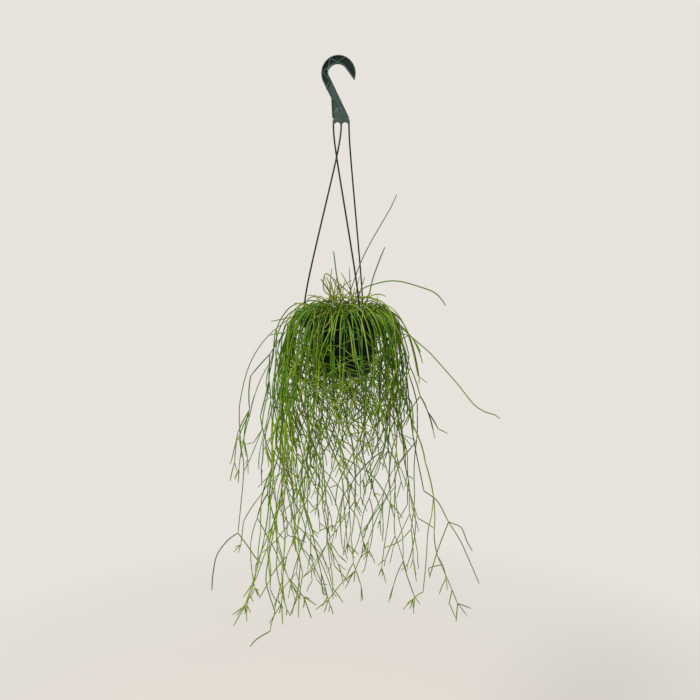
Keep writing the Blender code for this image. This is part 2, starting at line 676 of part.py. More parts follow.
def whole_fall(rng, line):
    """How far under the rim a stem hangs in all: less in front and behind, and more on the left."""
    x, y, _ = line[-1]
    beside = abs(x) / math.hypot(x, y)
    fall = FALL[0] + (FALL[1] - FALL[0]) * rng.beta(*FALL_SHAPE)
    fall *= 1.0 - FRONT_SHORTER * (1.0 - beside)
    return fall * (1.0 + LEFT_LONGER * beside if x < 0.0 else 1.0)


def later_lengths(rng, left):
    """The lengths between joints that take a stem down by about this much more."""
    lengths = []
    while left > LEAST_FALL:
        lengths.append(rng.uniform(*LATER_LENGTH))
        left -= lengths[-1]
    return lengths


def through(points):
    """A smooth line through hand-placed points, with a run of steps between each two."""
    points = [np.array(p) for p in points]
    ends = [2 * points[0] - points[1]] + points + [2 * points[-1] - points[-2]]
    line = [points[0]]
    for a, b, c, d in zip(ends, ends[1:], ends[2:], ends[3:]):
        for k in range(1, SMOOTH_STEPS + 1):
            t = k / SMOOTH_STEPS
            line.append(0.5 * (2 * b + (c - a) * t + (2 * a - 5 * b + 4 * c - d) * t ** 2
                               + (3 * b - a - 3 * c + d) * t ** 3))
    return np.array(line)


def grow_plant():
    """The lines of stem of each crown, as a list for each node."""
    space = Space()
    for index in range(3):
        space.fill(strand_line(index), STRAND_RADIUS + STRAND_GAP, -1)
    for index in range(CROWNS):
        foot = crown_place(index)
        space.fill((foot, foot + np.array((0.0, 0.0, CROWN_TOP_HEIGHT))), CROWN_RADIUS, index)
    clumps = [[] for _ in range(CROWNS)]
    for index, placed in PLACED.items():
        crown = crown_place(index) + np.array((0.0, 0.0, ROOT_LIFT))
        for points in ((crown,) + placed[0],) + placed[1:]:
            line = thin(through(points), THIN_WITHIN)
            space.fill(line, STEM_RADIUS, index)
            clumps[index].append(line)
    for index in reversed(range(CROWNS)):
        if index in SHOOTS_ONLY:
            continue
        rng = np.random.default_rng(SEED + index)
        wanted = STEMS_PER_CROWN - (index in PLACED)
        for _ in range(wanted):
            line = first_stem(rng, space, index, crown_place(index))
            if line is None:
                continue
            lengths = later_lengths(rng, whole_fall(rng, line) - (RIM_TOP - line[-1][2]))
            clumps[index] += grow_branch(rng, space, index, line, lengths, SIDE_CHANCE)
    return clumps


def build_clump(index, lines, finish):
    """One cutting: its crown in its hole, with its stems fused to it."""
    x, y, top = crown_place(index)
    levels = (top - CROWN_DEPTH, top + CROWN_NECK_HEIGHT, top + CROWN_TOP_HEIGHT)
    radii = (CROWN_FOOT_RADIUS, CROWN_RADIUS, CROWN_TOP_RADIUS)
    axis = [(x, y, z) for z in levels]
    clump = add_object(f"rhipsalis_{index + 1:02d}", lambda s: tube(s, axis, radii, CROWN_SIDES), finish)
    stems = []
    for k, line in enumerate(lines):
        thick = [STEM_RADIUS] * (len(line) - 1) + [TIP_RADIUS]
        stems.append(add_object(f"stem_{index}_{k}", lambda s: tube(s, line, thick, STEM_SIDES), finish))
    apply_boolean(clump, "UNION", stems, solver="MANIFOLD")


build_hanger()
build_pot()
build_soil()
stem_finish = material("stems", (0.130, 0.260, 0.030), 0.48)
for number, stem_lines in enumerate(grow_plant()):
    build_clump(number, stem_lines, stem_finish)
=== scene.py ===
# %% [markdown]
# # A potted rhipsalis on its hanger
#
# A rhipsalis is a cactus without thorns. It grows on trees, and its thin round stems hang down and fork at
# joints. This one fills a hanging pot of dark green plastic, on a moulded hanger with a hook and three
# strands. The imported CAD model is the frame: it fixes every size and place. Each step below dresses one part
# of it.

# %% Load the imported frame
import math
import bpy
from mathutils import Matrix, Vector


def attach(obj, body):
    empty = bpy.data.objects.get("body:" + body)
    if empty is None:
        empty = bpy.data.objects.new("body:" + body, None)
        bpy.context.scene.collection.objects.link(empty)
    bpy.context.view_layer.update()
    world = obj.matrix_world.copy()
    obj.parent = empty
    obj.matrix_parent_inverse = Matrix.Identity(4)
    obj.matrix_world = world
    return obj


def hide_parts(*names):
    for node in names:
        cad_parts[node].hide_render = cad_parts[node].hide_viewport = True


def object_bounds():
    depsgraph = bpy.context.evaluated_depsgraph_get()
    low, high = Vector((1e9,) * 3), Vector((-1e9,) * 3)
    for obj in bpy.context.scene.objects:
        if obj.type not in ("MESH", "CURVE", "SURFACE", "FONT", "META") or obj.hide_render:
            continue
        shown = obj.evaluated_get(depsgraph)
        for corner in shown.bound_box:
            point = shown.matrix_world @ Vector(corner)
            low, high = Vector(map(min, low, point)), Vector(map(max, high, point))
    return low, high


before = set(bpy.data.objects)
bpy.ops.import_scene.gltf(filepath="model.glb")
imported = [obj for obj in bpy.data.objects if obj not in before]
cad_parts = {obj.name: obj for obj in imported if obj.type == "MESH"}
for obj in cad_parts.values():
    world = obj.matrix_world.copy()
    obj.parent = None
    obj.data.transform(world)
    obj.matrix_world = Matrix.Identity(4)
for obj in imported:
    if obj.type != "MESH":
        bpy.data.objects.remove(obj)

from types import SimpleNamespace

import bpy
import numpy as np
from mathutils import Matrix, Vector, kdtree, noise

cad_low, cad_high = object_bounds()
print("CAD box", [round(v, 3) for v in cad_low], [round(v, 3) for v in cad_high])

# %% [markdown]
# ## Camera
#
# The photograph looks slightly down on the pot from about a metre away. The camera was solved from the pot's
# rim, the hook and the strands, so every real size lands on its own pixels. Depth of field stays off.

# %% Place the camera
CAMERA_PLACE = (0.0147, -1.10, -0.3435)
CAMERA_DOWN_DEGREES = 8.1
CAMERA_LENS = 30.857
CAMERA_NEAR, CAMERA_FAR = 0.05, 100.0

bpy.ops.object.select_all(action="DESELECT")
bpy.ops.object.camera_add(location=CAMERA_PLACE,
                          rotation=(math.radians(90.0 - CAMERA_DOWN_DEGREES), 0.0, 0.0))
camera = bpy.context.object
camera.data.lens = CAMERA_LENS
camera.data.clip_start, camera.data.clip_end = CAMERA_NEAR, CAMERA_FAR
bpy.context.scene.camera = camera
print("camera at", CAMERA_PLACE, "with a lens of", CAMERA_LENS, "mm")

# %% [markdown]
# ## Floor and light
#
# A hanging plant needs nothing behind it, so the stage is a wide pale floor far below it under an even sky.
# The floor fades out long before its edge, and no horizon cuts through the stems. One soft lamp from the
# upper left gives the sunny side of the photograph, a weaker one fills the right, and a third lights the
# edges from behind. First come the helpers for a plain finish and for the nodes that go into it.

# %% Plain finishes and their nodes
def new_material(name, colour, roughness, shine=0.5):
    """A material with a Principled shader that has this plain colour until a pattern is linked to it."""
    made = bpy.data.materials.new(name)
    made.use_nodes = True
    shader = made.node_tree.nodes["Principled BSDF"]
    shader.inputs["Base Color"].default_value = (*colour, 1.0)
    shader.inputs["Roughness"].default_value = roughness
    shader.inputs["Specular IOR Level"].default_value = shine
    return made, shader


def new_node(made, kind):
    return made.node_tree.nodes.new("ShaderNode" + kind)


def link(made, output, socket):
    made.node_tree.links.new(output, socket)


def object_place(made):
    return new_node(made, "TexCoord").outputs["Object"]


def value_range(made, source, low, high, to_low, to_high):
    """The value stretched from one range to another and held at its ends."""
    step = new_node(made, "MapRange")
    for key, value in (("From Min", low), ("From Max", high), ("To Min", to_low), ("To Max", to_high)):
        step.inputs[key].default_value = value
    link(made, source, step.inputs["Value"])
    return step.outputs["Result"]


# %% Build the floor
FLOOR_HEIGHT = -2.0
FLOOR_RADIUS = 14.0
FLOOR_SIDES = 96
FLOOR_FADE_START = 0.4
FLOOR_FADE_END = 2.4
FLOOR_PAINT, FLOOR_ROUGHNESS = (0.92, 0.885, 0.84), 0.85

bpy.ops.object.select_all(action="DESELECT")
bpy.ops.mesh.primitive_circle_add(vertices=FLOOR_SIDES, radius=FLOOR_RADIUS, fill_type="NGON",
                                  location=(0.0, 0.0, FLOOR_HEIGHT))
floor = bpy.context.object
floor.name = "floor"
floor_finish, floor_shader = new_material("floor_paint", FLOOR_PAINT, FLOOR_ROUGHNESS)
distance = new_node(floor_finish, "VectorMath")
distance.operation = "LENGTH"
link(floor_finish, object_place(floor_finish), distance.inputs[0])
fade = value_range(floor_finish, distance.outputs["Value"], FLOOR_FADE_START, FLOOR_FADE_END, 1.0, 0.0)
link(floor_finish, fade, floor_shader.inputs["Alpha"])
floor.data.materials.append(floor_finish)
print("floor at", FLOOR_HEIGHT, "gone at", FLOOR_FADE_END, "from its middle")

# %% Set the sky and the lamps
PALE = (0.80, 0.765, 0.72)
SKY_SEEN = 1.0
SKY_LIGHT = 0.34
LAMPS = (
    # name, place, aims at, size, watts, colour
    ("key", (-1.5, -1.5, 1.2), (0.0, 0.0, -0.55), 0.8, 95.0, (1.0, 0.96, 0.88)),
    ("fill", (2.0, -1.6, 0.3), (0.0, 0.0, -0.6), 1.8, 16.0, (0.93, 0.96, 1.0)),
    ("rim", (0.8, 2.2, 1.0), (0.0, 0.0, -0.5), 1.6, 22.0, (1.0, 0.98, 0.94)),
)

world = bpy.data.worlds.new("studio")
bpy.context.scene.world = world
world.use_nodes = True
sky = world.node_tree.nodes["Background"]
sky.inputs["Color"].default_value = (*PALE, 1.0)
seen = new_node(world, "LightPath").outputs["Is Camera Ray"]
link(world, value_range(world, seen, 0.0, 1.0, SKY_LIGHT, SKY_SEEN), sky.inputs["Strength"])

for name, where, aim, size, watts, colour in LAMPS:
    bpy.ops.object.light_add(type="AREA", location=where)
    lamp = bpy.context.object
    lamp.name = name
    lamp.rotation_euler = (Vector(aim) - Vector(where)).to_track_quat("-Z", "Y").to_euler()
    lamp.data.shape = "DISK"
    lamp.data.size = size
    lamp.data.energy = watts
    lamp.data.color = colour
bpy.context.scene.view_settings.view_transform = "Standard"
print("lamps", [lamp[0] for lamp in LAMPS])

# %% [markdown]
# ## Helpers for hand modelling
#
# Operators act on whatever is selected, so each piece starts with a clear selection. These few moves are used
# by several pieces: rounding the sharp edges, joining mouldings into one body, cutting holes, and making flat
# mouldings, turned forms and rods. A flat moulding is a circle whose corners are moved and whose face is then
# extruded. A rod is a curve with a round bevel.

# %% Selection and modifiers
SHARP_DEGREES = 35.0


def clear_selection():
    if bpy.context.object and bpy.context.object.mode != "OBJECT":
        bpy.ops.object.mode_set(mode="OBJECT")
    bpy.ops.object.select_all(action="DESELECT")


def pick(piece):
    clear_selection()
    piece.select_set(True)
    bpy.context.view_layer.objects.active = piece


def apply_modifier(piece, kind, **settings):
    """Adds a modifier with these settings and applies it, as its Apply button does."""
    pick(piece)
    step = piece.modifiers.new(kind.title(), kind)
    for key, value in settings.items():
        setattr(step, key, value)
    bpy.ops.object.modifier_apply(modifier=step.name)


def rounded(piece, width, segments=2):
    apply_modifier(piece, "BEVEL", width=width, segments=segments, limit_method="ANGLE",
                   angle_limit=math.radians(SHARP_DEGREES), harden_normals=False)


# %% Join, tidy and dress
DOUBLES_WITHIN = 1e-6


def combine(piece, others, operation="UNION"):
    """Joins the others to the piece, or cuts them out of it, in one Boolean, and removes them."""
    group = bpy.data.collections.new(piece.name + "_others")
    for other in others:
        group.objects.link(other)
    apply_modifier(piece, "BOOLEAN", operation=operation, operand_type="COLLECTION", collection=group,
                   solver="MANIFOLD")
    for other in others:
        bpy.data.objects.remove(other)
    bpy.data.collections.remove(group)


def tidy_mesh(piece, merge=DOUBLES_WITHIN):
    """Merges doubles and turns the faces outwards, with the piece's place put into its mesh."""
    pick(piece)
    bpy.ops.object.transform_apply(location=True, rotation=True, scale=True)
    bpy.ops.object.mode_set(mode="EDIT")
    bpy.ops.mesh.select_all(action="SELECT")
    bpy.ops.mesh.remove_doubles(threshold=merge)
    bpy.ops.mesh.normals_make_consistent(inside=False)
    bpy.ops.object.mode_set(mode="OBJECT")


def dress(piece, name, finish, slot, *stands_for):
    """Names a finished piece, gives it its material and hangs it on the frame."""
    piece.name = piece.data.name = name
    piece.data.materials.clear()
    piece.data.materials.append(finish)
    pick(piece)
    bpy.ops.object.shade_smooth_by_angle(angle=math.radians(SHARP_DEGREES))
    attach(piece, "root")
    if stands_for:
        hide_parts(*stands_for)
    print(name, len(piece.data.polygons), "faces")


# %% Flat mouldings, turned forms and rods
EDGE_ROUNDING = 0.00035
ROD_RESOLUTION = 2


def flat_moulding(outline, depth):
    """A flat plastic moulding in the XZ plane with this outline, extruded evenly to both sides of it."""
    clear_selection()
    bpy.ops.mesh.primitive_circle_add(vertices=len(outline), fill_type="NGON")
    piece = bpy.context.object
    for corner, (x, z) in zip(piece.data.vertices, outline):
        corner.co = (x, -depth / 2, z)
    bpy.ops.object.mode_set(mode="EDIT")
    bpy.ops.mesh.select_all(action="SELECT")
    bpy.ops.mesh.extrude_region_move(TRANSFORM_OT_translate={"value": (0.0, depth, 0.0)})
    bpy.ops.object.mode_set(mode="OBJECT")
    tidy_mesh(piece)
    rounded(piece, EDGE_ROUNDING)
    return piece


def lathe(profile, sides):
    """A turned form: a ring is extruded and resized from one height of the profile to the next."""
    clear_selection()
    radius, height = profile[0]
    bpy.ops.mesh.primitive_circle_add(vertices=sides, radius=radius, fill_type="NGON",
                                      location=(0.0, 0.0, height))
    piece = bpy.context.object
    bpy.ops.object.transform_apply(location=True)
    bpy.ops.object.mode_set(mode="EDIT")
    bpy.ops.mesh.select_all(action="SELECT")
    for next_radius, next_height in profile[1:]:
        bpy.ops.mesh.extrude_region_move(TRANSFORM_OT_translate={"value": (0.0, 0.0, next_height - height)})
        ratio = next_radius / radius
        bpy.ops.transform.resize(value=(ratio, ratio, 1.0), center_override=(0.0, 0.0, next_height))
        radius, height = next_radius, next_height
    bpy.ops.object.mode_set(mode="OBJECT")
    tidy_mesh(piece)
    return piece


def empty_curve(resolution, caps):
    """A curve with no line in it yet, whose round bevel takes its radius from each point."""
    clear_selection()
    bpy.ops.curve.primitive_bezier_curve_add()
    shape = bpy.context.object.data
    shape.splines.clear()
    shape.dimensions, shape.bevel_depth = "3D", 1.0
    shape.bevel_resolution, shape.use_fill_caps = resolution, caps
    return bpy.context.object


def add_spline(shape, points, radii):
    spline = shape.splines.new("POLY")
    spline.points.add(len(points) - 1)
    spline.points.foreach_set("co", [value for p in points for value in (*p, 1.0)])
    spline.points.foreach_set("radius", list(radii))


def curve_to_mesh(piece, merge=DOUBLES_WITHIN):
    pick(piece)
    bpy.ops.object.convert(target="MESH")
    tidy_mesh(piece, merge)


def rod(points, radii):
    """A rod of round section along a line of points."""
    piece = empty_curve(ROD_RESOLUTION, True)
    add_spline(piece.data, points, radii)
    curve_to_mesh(piece)
    return piece


# %% [markdown]
# ## Plastic finishes
#
# Moulded polypropylene is nearly even in colour. What makes it read as plastic is its sheen: a satin gloss
# that is a little uneven, over a very fine leathery grain from the mould. Three noise patterns on the
# object's own coordinates do this: a broad one for the colour, a finer one for the gloss and the finest for
# the grain.

# %% Patterns and grain
NOISE_SPAN = (0.3, 0.7)


def noise_pattern(made, scale, detail=3.0):
    """A noise on the object's own coordinates. Nearly all its values lie in NOISE_SPAN."""
    pattern = new_node(made, "TexNoise")
    pattern.inputs["Scale"].default_value = scale
    pattern.inputs["Detail"].default_value = detail
    link(made, object_place(made), pattern.inputs["Vector"])
    return pattern.outputs["Fac"]


def colour_ramp(made, source, *stops):
    """Colours by value: each stop is a place from 0 to 1 and a colour."""
    ramp = new_node(made, "ValToRGB")
    while len(ramp.color_ramp.elements) < len(stops):
        ramp.color_ramp.elements.new(0.5)
    for element, (where, colour) in zip(ramp.color_ramp.elements, stops):
        element.position = where
        element.color = (*colour, 1.0)
    link(made, source, ramp.inputs["Fac"])
    return ramp.outputs["Color"]


def grain(made, shader, source, strength, depth):
    """Roughens the surface by the pattern, as a bump and not as real shape."""
    bump = new_node(made, "Bump")
    bump.inputs["Strength"].default_value = strength
    bump.inputs["Distance"].default_value = depth
    link(made, source, bump.inputs["Height"])
    link(made, bump.outputs["Normal"], shader.inputs["Normal"])


# %% Mix the plastics
TONE_SCALE, GLOSS_SCALE, GRAIN_SCALE, GRAIN_DETAIL = 55.0, 140.0, 2200.0, 2.0
GRAIN_STRENGTH, GRAIN_DEPTH = 0.22, 0.0002


def moulded_plastic(name, dark, light, rough, smooth, shine):
    """Plastic between two close tones, with a roughness that wavers between two values."""
    made, shader = new_material(name, light, rough, shine)
    low, high = NOISE_SPAN
    tones = colour_ramp(made, noise_pattern(made, TONE_SCALE), (low, dark), (high, light))
    link(made, tones, shader.inputs["Base Color"])
    gloss = value_range(made, noise_pattern(made, GLOSS_SCALE), low, high, smooth, rough)
    link(made, gloss, shader.inputs["Roughness"])
    grain(made, shader, noise_pattern(made, GRAIN_SCALE, GRAIN_DETAIL), GRAIN_STRENGTH, GRAIN_DEPTH)
    return made


hanger_plastic, glossy_painted_shade_plastic, pot_plastic = (moulded_plastic(*mix) for mix in (
    # name, dark tone, light tone, roughest, smoothest, shine
    ("hanger_plastic_satin", (0.024, 0.050, 0.042), (0.036, 0.068, 0.058), 0.50, 0.38, 0.40),
    # the glossy copy is darker to paint shade into the hook's recesses; the strands take it too
    ("hanger_plastic_glossy_painted_shade", (0.005, 0.012, 0.010), (0.010, 0.021, 0.017), 0.36, 0.28, 0.25),
    ("pot_plastic_satin", (0.003, 0.009, 0.006), (0.007, 0.017, 0.013), 0.50, 0.36, 0.25),
))
print("plastics", hanger_plastic.name, glossy_painted_shade_plastic.name, pot_plastic.name)

# %% [markdown]
# ## Hanger
#
# The hanger is one moulding. Its hook is a thin web with a rib along each edge and zigzag ribs between them,
# which make it stiff with little plastic. A slanting rib runs down into the plate, a notch marks each side
# above the foot, and the three strands leave it round two arches. The web, ribs and foot are flat mouldings
# with the real outlines, joined in one Boolean with the strands.

# %% Outline of the hook
HOOK_CENTRE, HOOK_RADIUS = (-0.0053, -0.0148), 0.0300
HOOK_TIP_ANGLE, HOOK_END_ANGLE = -19.0, 207.0
THROAT_CENTRE, THROAT_HALF_WIDTH, THROAT_HALF_HEIGHT = (-0.0065, -0.0135), 0.0163, 0.0148
THROAT_START_ANGLE, THROAT_END_ANGLE = 40.0, 215.0
HOOK_INNER_TIP = (0.0217, -0.0244)
HOOK_STATIONS = 49
TIP_STATIONS = 16
PLATE_TOP_LEFT, PLATE_BOTTOM_LEFT = (-0.0182, -0.0553), (-0.0165, -0.0885)
PLATE_BOTTOM_RIGHT = (0.0132, -0.0885)


def on_oval(centre, half_width, half_height, degrees):
    """The point of an oval at this angle, counted from its right-hand end."""
    turn = math.radians(degrees)
    return np.array(centre) + (half_width * math.cos(turn), half_height * math.sin(turn))


def hook_edges():
    """Outer and inner points of the hook in pairs, from its tip to the bottom of the plate."""
    throat = (THROAT_CENTRE, THROAT_HALF_WIDTH, THROAT_HALF_HEIGHT)
    joint = on_oval(*throat, THROAT_START_ANGLE)
    pairs = []
    for i in range(HOOK_STATIONS):
        along = i / (HOOK_STATIONS - 1)
        angle = HOOK_TIP_ANGLE + (HOOK_END_ANGLE - HOOK_TIP_ANGLE) * along
        if i < TIP_STATIONS:
            inner = HOOK_INNER_TIP + (joint - HOOK_INNER_TIP) * (i / TIP_STATIONS)
        else:
            part = (i - TIP_STATIONS) / (HOOK_STATIONS - 1 - TIP_STATIONS)
            inner = on_oval(*throat, THROAT_START_ANGLE + (THROAT_END_ANGLE - THROAT_START_ANGLE) * part)
        pairs.append((on_oval(HOOK_CENTRE, HOOK_RADIUS, HOOK_RADIUS, angle), inner))
    (left, top), (right, bottom) = pairs[-1][1], PLATE_BOTTOM_RIGHT
    for outer in (PLATE_TOP_LEFT, PLATE_BOTTOM_LEFT):
        part = (top - outer[1]) / (top - bottom)
        pairs.append((np.array(outer), np.array((left + (right - left) * part, outer[1]))))
    return pairs


edges = hook_edges()
print("hook stations", len(edges))

# %% Web, ribs and zigzags
HOOK_DEPTH, WEB_DEPTH, RIB_WIDTH = 0.0056, 0.0014, 0.0019
RIB_MOST_SHARE = 0.45
ZIGZAG = ((0.0062, 0.0112), (-0.0061, 0.0035), (-0.0196, 0.0098), (-0.0224, -0.0062), (-0.0334, -0.0125),
          (-0.0206, -0.0262), (-0.0262, -0.0410))
ZIGZAG_WIDTH, ZIGZAG_DEPTH = 0.0020, 0.0046
PLATE_RIB = ((-0.0180, -0.0530), (-0.0031, -0.0778))
PLATE_FACE = ((-0.0075, -0.0715), (0.0040, -0.0700), (0.0122, -0.0872), (-0.0155, -0.0872),
              (-0.0155, -0.0800))
PLATE_FACE_DEPTH = 0.0036


def bar_outline(start, end, width):
    """The four corners of a straight bar of this width between two points."""
    way = np.array(end) - start
    side = np.array((-way[1], way[0])) / np.linalg.norm(way) * width / 2
    return [start + side, end + side, end - side, start - side]


def edge_rib(near_outer):
    """The strip of the hook next to its outer or inner edge, closed round."""
    edge, inset = [], []
    for outer, inner in edges:
        start, end = (outer, inner) if near_outer else (inner, outer)
        span = np.linalg.norm(end - start)
        edge.append(start)
        inset.append(start + (end - start) * min(RIB_WIDTH, RIB_MOST_SHARE * span) / span)
    return edge + inset[::-1]


web = flat_moulding([outer for outer, _ in edges] + [inner for _, inner in edges][::-1], WEB_DEPTH)
mouldings = [(edge_rib(near_outer), HOOK_DEPTH) for near_outer in (True, False)]
mouldings += [(bar_outline(*ends, ZIGZAG_WIDTH), ZIGZAG_DEPTH) for ends in zip(ZIGZAG, ZIGZAG[1:])]
mouldings += [(bar_outline(*PLATE_RIB, RIB_WIDTH), HOOK_DEPTH), (PLATE_FACE, PLATE_FACE_DEPTH)]
ribs = [flat_moulding(outline, depth) for outline, depth in mouldings]
print("ribs and faces on the web", len(ribs))

# %% Foot with its arches and notches
FOOT_TOP, FOOT_BOTTOM, FOOT_DEPTH, FOOT_CENTRE = -0.0905, -0.1010, 0.0036, -0.0008
NOTCH_TOP, NOTCH_FOOT, NOTCH_LEFT, NOTCH_RIGHT = -0.0860, -0.0890, -0.0142, 0.0117
STRAND_PITCH, STRAND_RADIUS = 0.0137, 0.0015
SHOULDER, SHOULDER_STEPS = 0.0026, 5
ARCH_STEPS = 14


def arc(centre, radius, start, end, steps):
    """Points along an arc, by its angles in degrees."""
    return [on_oval(centre, radius, radius, start + (end - start) * k / steps) for k in range(steps + 1)]


half_foot = STRAND_PITCH + STRAND_RADIUS
arch_radius = STRAND_PITCH / 2 - STRAND_RADIUS
far_left, far_right = FOOT_CENTRE - half_foot, FOOT_CENTRE + half_foot
shoulder_height = FOOT_TOP - SHOULDER
foot_outline = (
    [(far_right, FOOT_BOTTOM)]
    + arc((far_right - SHOULDER, shoulder_height), SHOULDER, 0.0, 90.0, SHOULDER_STEPS)
    + [(NOTCH_RIGHT, NOTCH_FOOT), (NOTCH_RIGHT, NOTCH_TOP), (NOTCH_LEFT, NOTCH_TOP), (NOTCH_LEFT, NOTCH_FOOT)]
    + arc((far_left + SHOULDER, shoulder_height), SHOULDER, 90.0, 180.0, SHOULDER_STEPS)
    + [(far_left, FOOT_BOTTOM)]
    + arc((FOOT_CENTRE - STRAND_PITCH / 2, FOOT_BOTTOM), arch_radius, 180.0, 0.0, ARCH_STEPS)
    + arc((FOOT_CENTRE + STRAND_PITCH / 2, FOOT_BOTTOM), arch_radius, 180.0, 0.0, ARCH_STEPS)
)
foot = flat_moulding(foot_outline, FOOT_DEPTH)
print("foot outline", len(foot_outline), "points")

# %% Line of a strand
RIM_TOP = -0.4367
WALL = 0.0016
LUG_RADIUS = 0.0706
LUG_ANGLES = (-63.5, 176.0, 56.0)
GAP = 0.0003
STRAND_STEPS, STRAND_TOP_BEND, STRAND_FOOT_BEND = 160, 0.070, 0.100
STRAND_SINK, STRAND_WITHIN, STRAND_FINE_WITHIN = 0.0004, 0.0003, 0.00002


def around(radius, degrees, height):
    """The place at this radius and angle round the pot's axis."""
    turn = math.radians(degrees)
    return np.array((radius * math.cos(turn), radius * math.sin(turn), height))


def unit(vector):
    return vector / np.linalg.norm(vector)


def thin(points, within):
    """The fewest of the points that keep the line within this distance of all of them."""
    start, end = points[0], points[-1]
    way = unit(end - start)
    off = points - start
    away = np.linalg.norm(off - np.outer(off @ way, way), axis=1)
    furthest = int(away.argmax())
    if len(points) < 3 or away[furthest] <= within:
        return np.array((start, end))
    first, second = thin(points[: furthest + 1], within), thin(points[furthest:], within)
    return np.vstack((first[:-1], second))


def strand_line(index, within):
    """Points down one strand: it leaves the foot straight down, runs straight and turns into its hole."""
    start = np.array((FOOT_CENTRE + (index - 1) * STRAND_PITCH, 0.0, FOOT_BOTTOM + STRAND_SINK))
    end = around(LUG_RADIUS, LUG_ANGLES[index], RIM_TOP + GAP)
    share = np.linspace(0.0, 1.0, STRAND_STEPS + 1)
    lean = (1.0 - np.exp(-share / STRAND_TOP_BEND)) * (1.0 - np.exp((share - 1.0) / STRAND_FOOT_BEND))
    moved = np.append(0.0, np.cumsum((lean[1:] + lean[:-1]) / 2))
    moved /= moved[-1]
    return thin(start + (end - start) * np.column_stack((moved, moved, share)), within)


# %% Strands with their barbs, joined to the web, the ribs and the foot
BARB = ((0.0, 0.0014), (0.0005, 0.0028), (0.0026, 0.0030), (0.0034, 0.0021), (0.0062, 0.0017),
        (0.0102, 0.0010), (0.0110, 0.0004))

strands = []
for index in range(len(LUG_ANGLES)):
    line = list(strand_line(index, STRAND_FINE_WITHIN))
    radii = [STRAND_RADIUS] * len(line)
    for drop, radius in BARB:
        line.append(np.array((line[-1][0], line[-1][1], RIM_TOP - WALL - GAP - drop)))
        radii.append(radius)
    strands.append(rod(line, radii))
combine(web, ribs + [foot] + strands)
dress(web, "hanger_moulding", hanger_plastic, "hanger_plastic", "hanger")

# %% Paint shade into the recesses between the zigzags with the darker glossy plastic, which the strands share
ZIGZAG_FOOT = -0.0400

web.data.materials.append(glossy_painted_shade_plastic)
for face in web.data.polygons:
    centre = face.center
    in_recess = centre.z > ZIGZAG_FOOT and abs(centre.y) < ZIGZAG_DEPTH / 2 - EDGE_ROUNDING
    if in_recess or centre.z < FOOT_BOTTOM:
        face.material_index = 1
print("dark faces", sum(face.material_index for face in web.data.polygons))

# %% [markdown]
# ## Pot
#
# A nursery hanging pot is injection moulded: a thin tapered wall, a wide flat rim with a skirt that hides the
# strand ends, small upright ribs on the skirt, and a stepped base with drain holes. It is turned like clay on
# a wheel, by extruding and resizing one ring. Then the ribs are pushed out and the holes are drilled.

# %% Turn the pot
RIM_RADIUS, SKIRT_RADIUS, SKIRT_HEIGHT = 0.0760, 0.0752, 0.0180
BODY_TOP_RADIUS, BODY_FOOT_RADIUS, BODY_CURVE = 0.0642, 0.0500, 1.8
POT_HEIGHT, BASE_RADIUS = 0.1086, 0.0430
POT_SIDES, POT_RINGS, WALL_FOOT = 144, 12, 0.1020


def body_radius(depth):
    """The outer radius of the pot's wall at this depth under the rim's top."""
    part = np.clip(depth / POT_HEIGHT, 0.0, 1.0)
    return BODY_TOP_RADIUS - (BODY_TOP_RADIUS - BODY_FOOT_RADIUS) * part ** BODY_CURVE


def wall_line(inset, depths):
    return [(float(body_radius(depth)) - inset, RIM_TOP - depth) for depth in depths]


base_height = RIM_TOP - POT_HEIGHT
wall_depths = np.linspace(WALL_FOOT, WALL, POT_RINGS)
pot_profile = (
    [(0.0360, base_height + 0.0010), (0.0375, base_height), (0.0415, base_height),
     (BASE_RADIUS, base_height + 0.0002), (0.0455, base_height + 0.0010), (0.0470, base_height + 0.0026),
     (0.0485, base_height + 0.0045)]
    + wall_line(0.0, wall_depths)
    + [(RIM_RADIUS - 0.0018, RIM_TOP - WALL), (SKIRT_RADIUS - 0.0014, RIM_TOP - SKIRT_HEIGHT),
       (SKIRT_RADIUS, RIM_TOP - SKIRT_HEIGHT), (SKIRT_RADIUS + 0.0004, RIM_TOP - 0.0044),
       (RIM_RADIUS, RIM_TOP - 0.0036), (RIM_RADIUS, RIM_TOP - 0.0009), (RIM_RADIUS - 0.0008, RIM_TOP),
       (0.0668, RIM_TOP), (0.0658, RIM_TOP - 0.0004), (0.0646, RIM_TOP - 0.0004), (0.0636, RIM_TOP)]
    + wall_line(WALL, wall_depths[::-1])
    + [(0.0452, base_height + 0.0036), (0.0360, base_height + WALL + 0.0012)]
)
pot = lathe(pot_profile, POT_SIDES)
print("pot profile", len(pot_profile), "rings")

# %% Push out the skirt's ribs
RIB_EVERY, RIB_RISE = 6, 0.0005
RIB_SEARCH, RIB_TOP = 0.0003, 0.0060
POT_ROUNDING = 0.0003

pick(pot)
bpy.ops.object.mode_set(mode="EDIT")
bpy.ops.mesh.select_mode(type="FACE")
bpy.ops.mesh.select_all(action="DESELECT")
bpy.ops.object.mode_set(mode="OBJECT")
for face in pot.data.polygons:
    centre = face.center
    on_skirt = math.hypot(centre.x, centre.y) > SKIRT_RADIUS - RIB_SEARCH
    if on_skirt and RIM_TOP - SKIRT_HEIGHT < centre.z < RIM_TOP - RIB_TOP:
        column = math.floor(math.degrees(math.atan2(centre.y, centre.x)) / (360.0 / POT_SIDES))
        face.select = column % RIB_EVERY == 0
print("ribs on the skirt", sum(face.select for face in pot.data.polygons))
bpy.ops.object.mode_set(mode="EDIT")
bpy.ops.mesh.extrude_region_shrink_fatten(TRANSFORM_OT_shrink_fatten={"value": RIB_RISE})
bpy.ops.mesh.select_mode(type="VERT")
bpy.ops.object.mode_set(mode="OBJECT")
rounded(pot, POT_ROUNDING, 1)

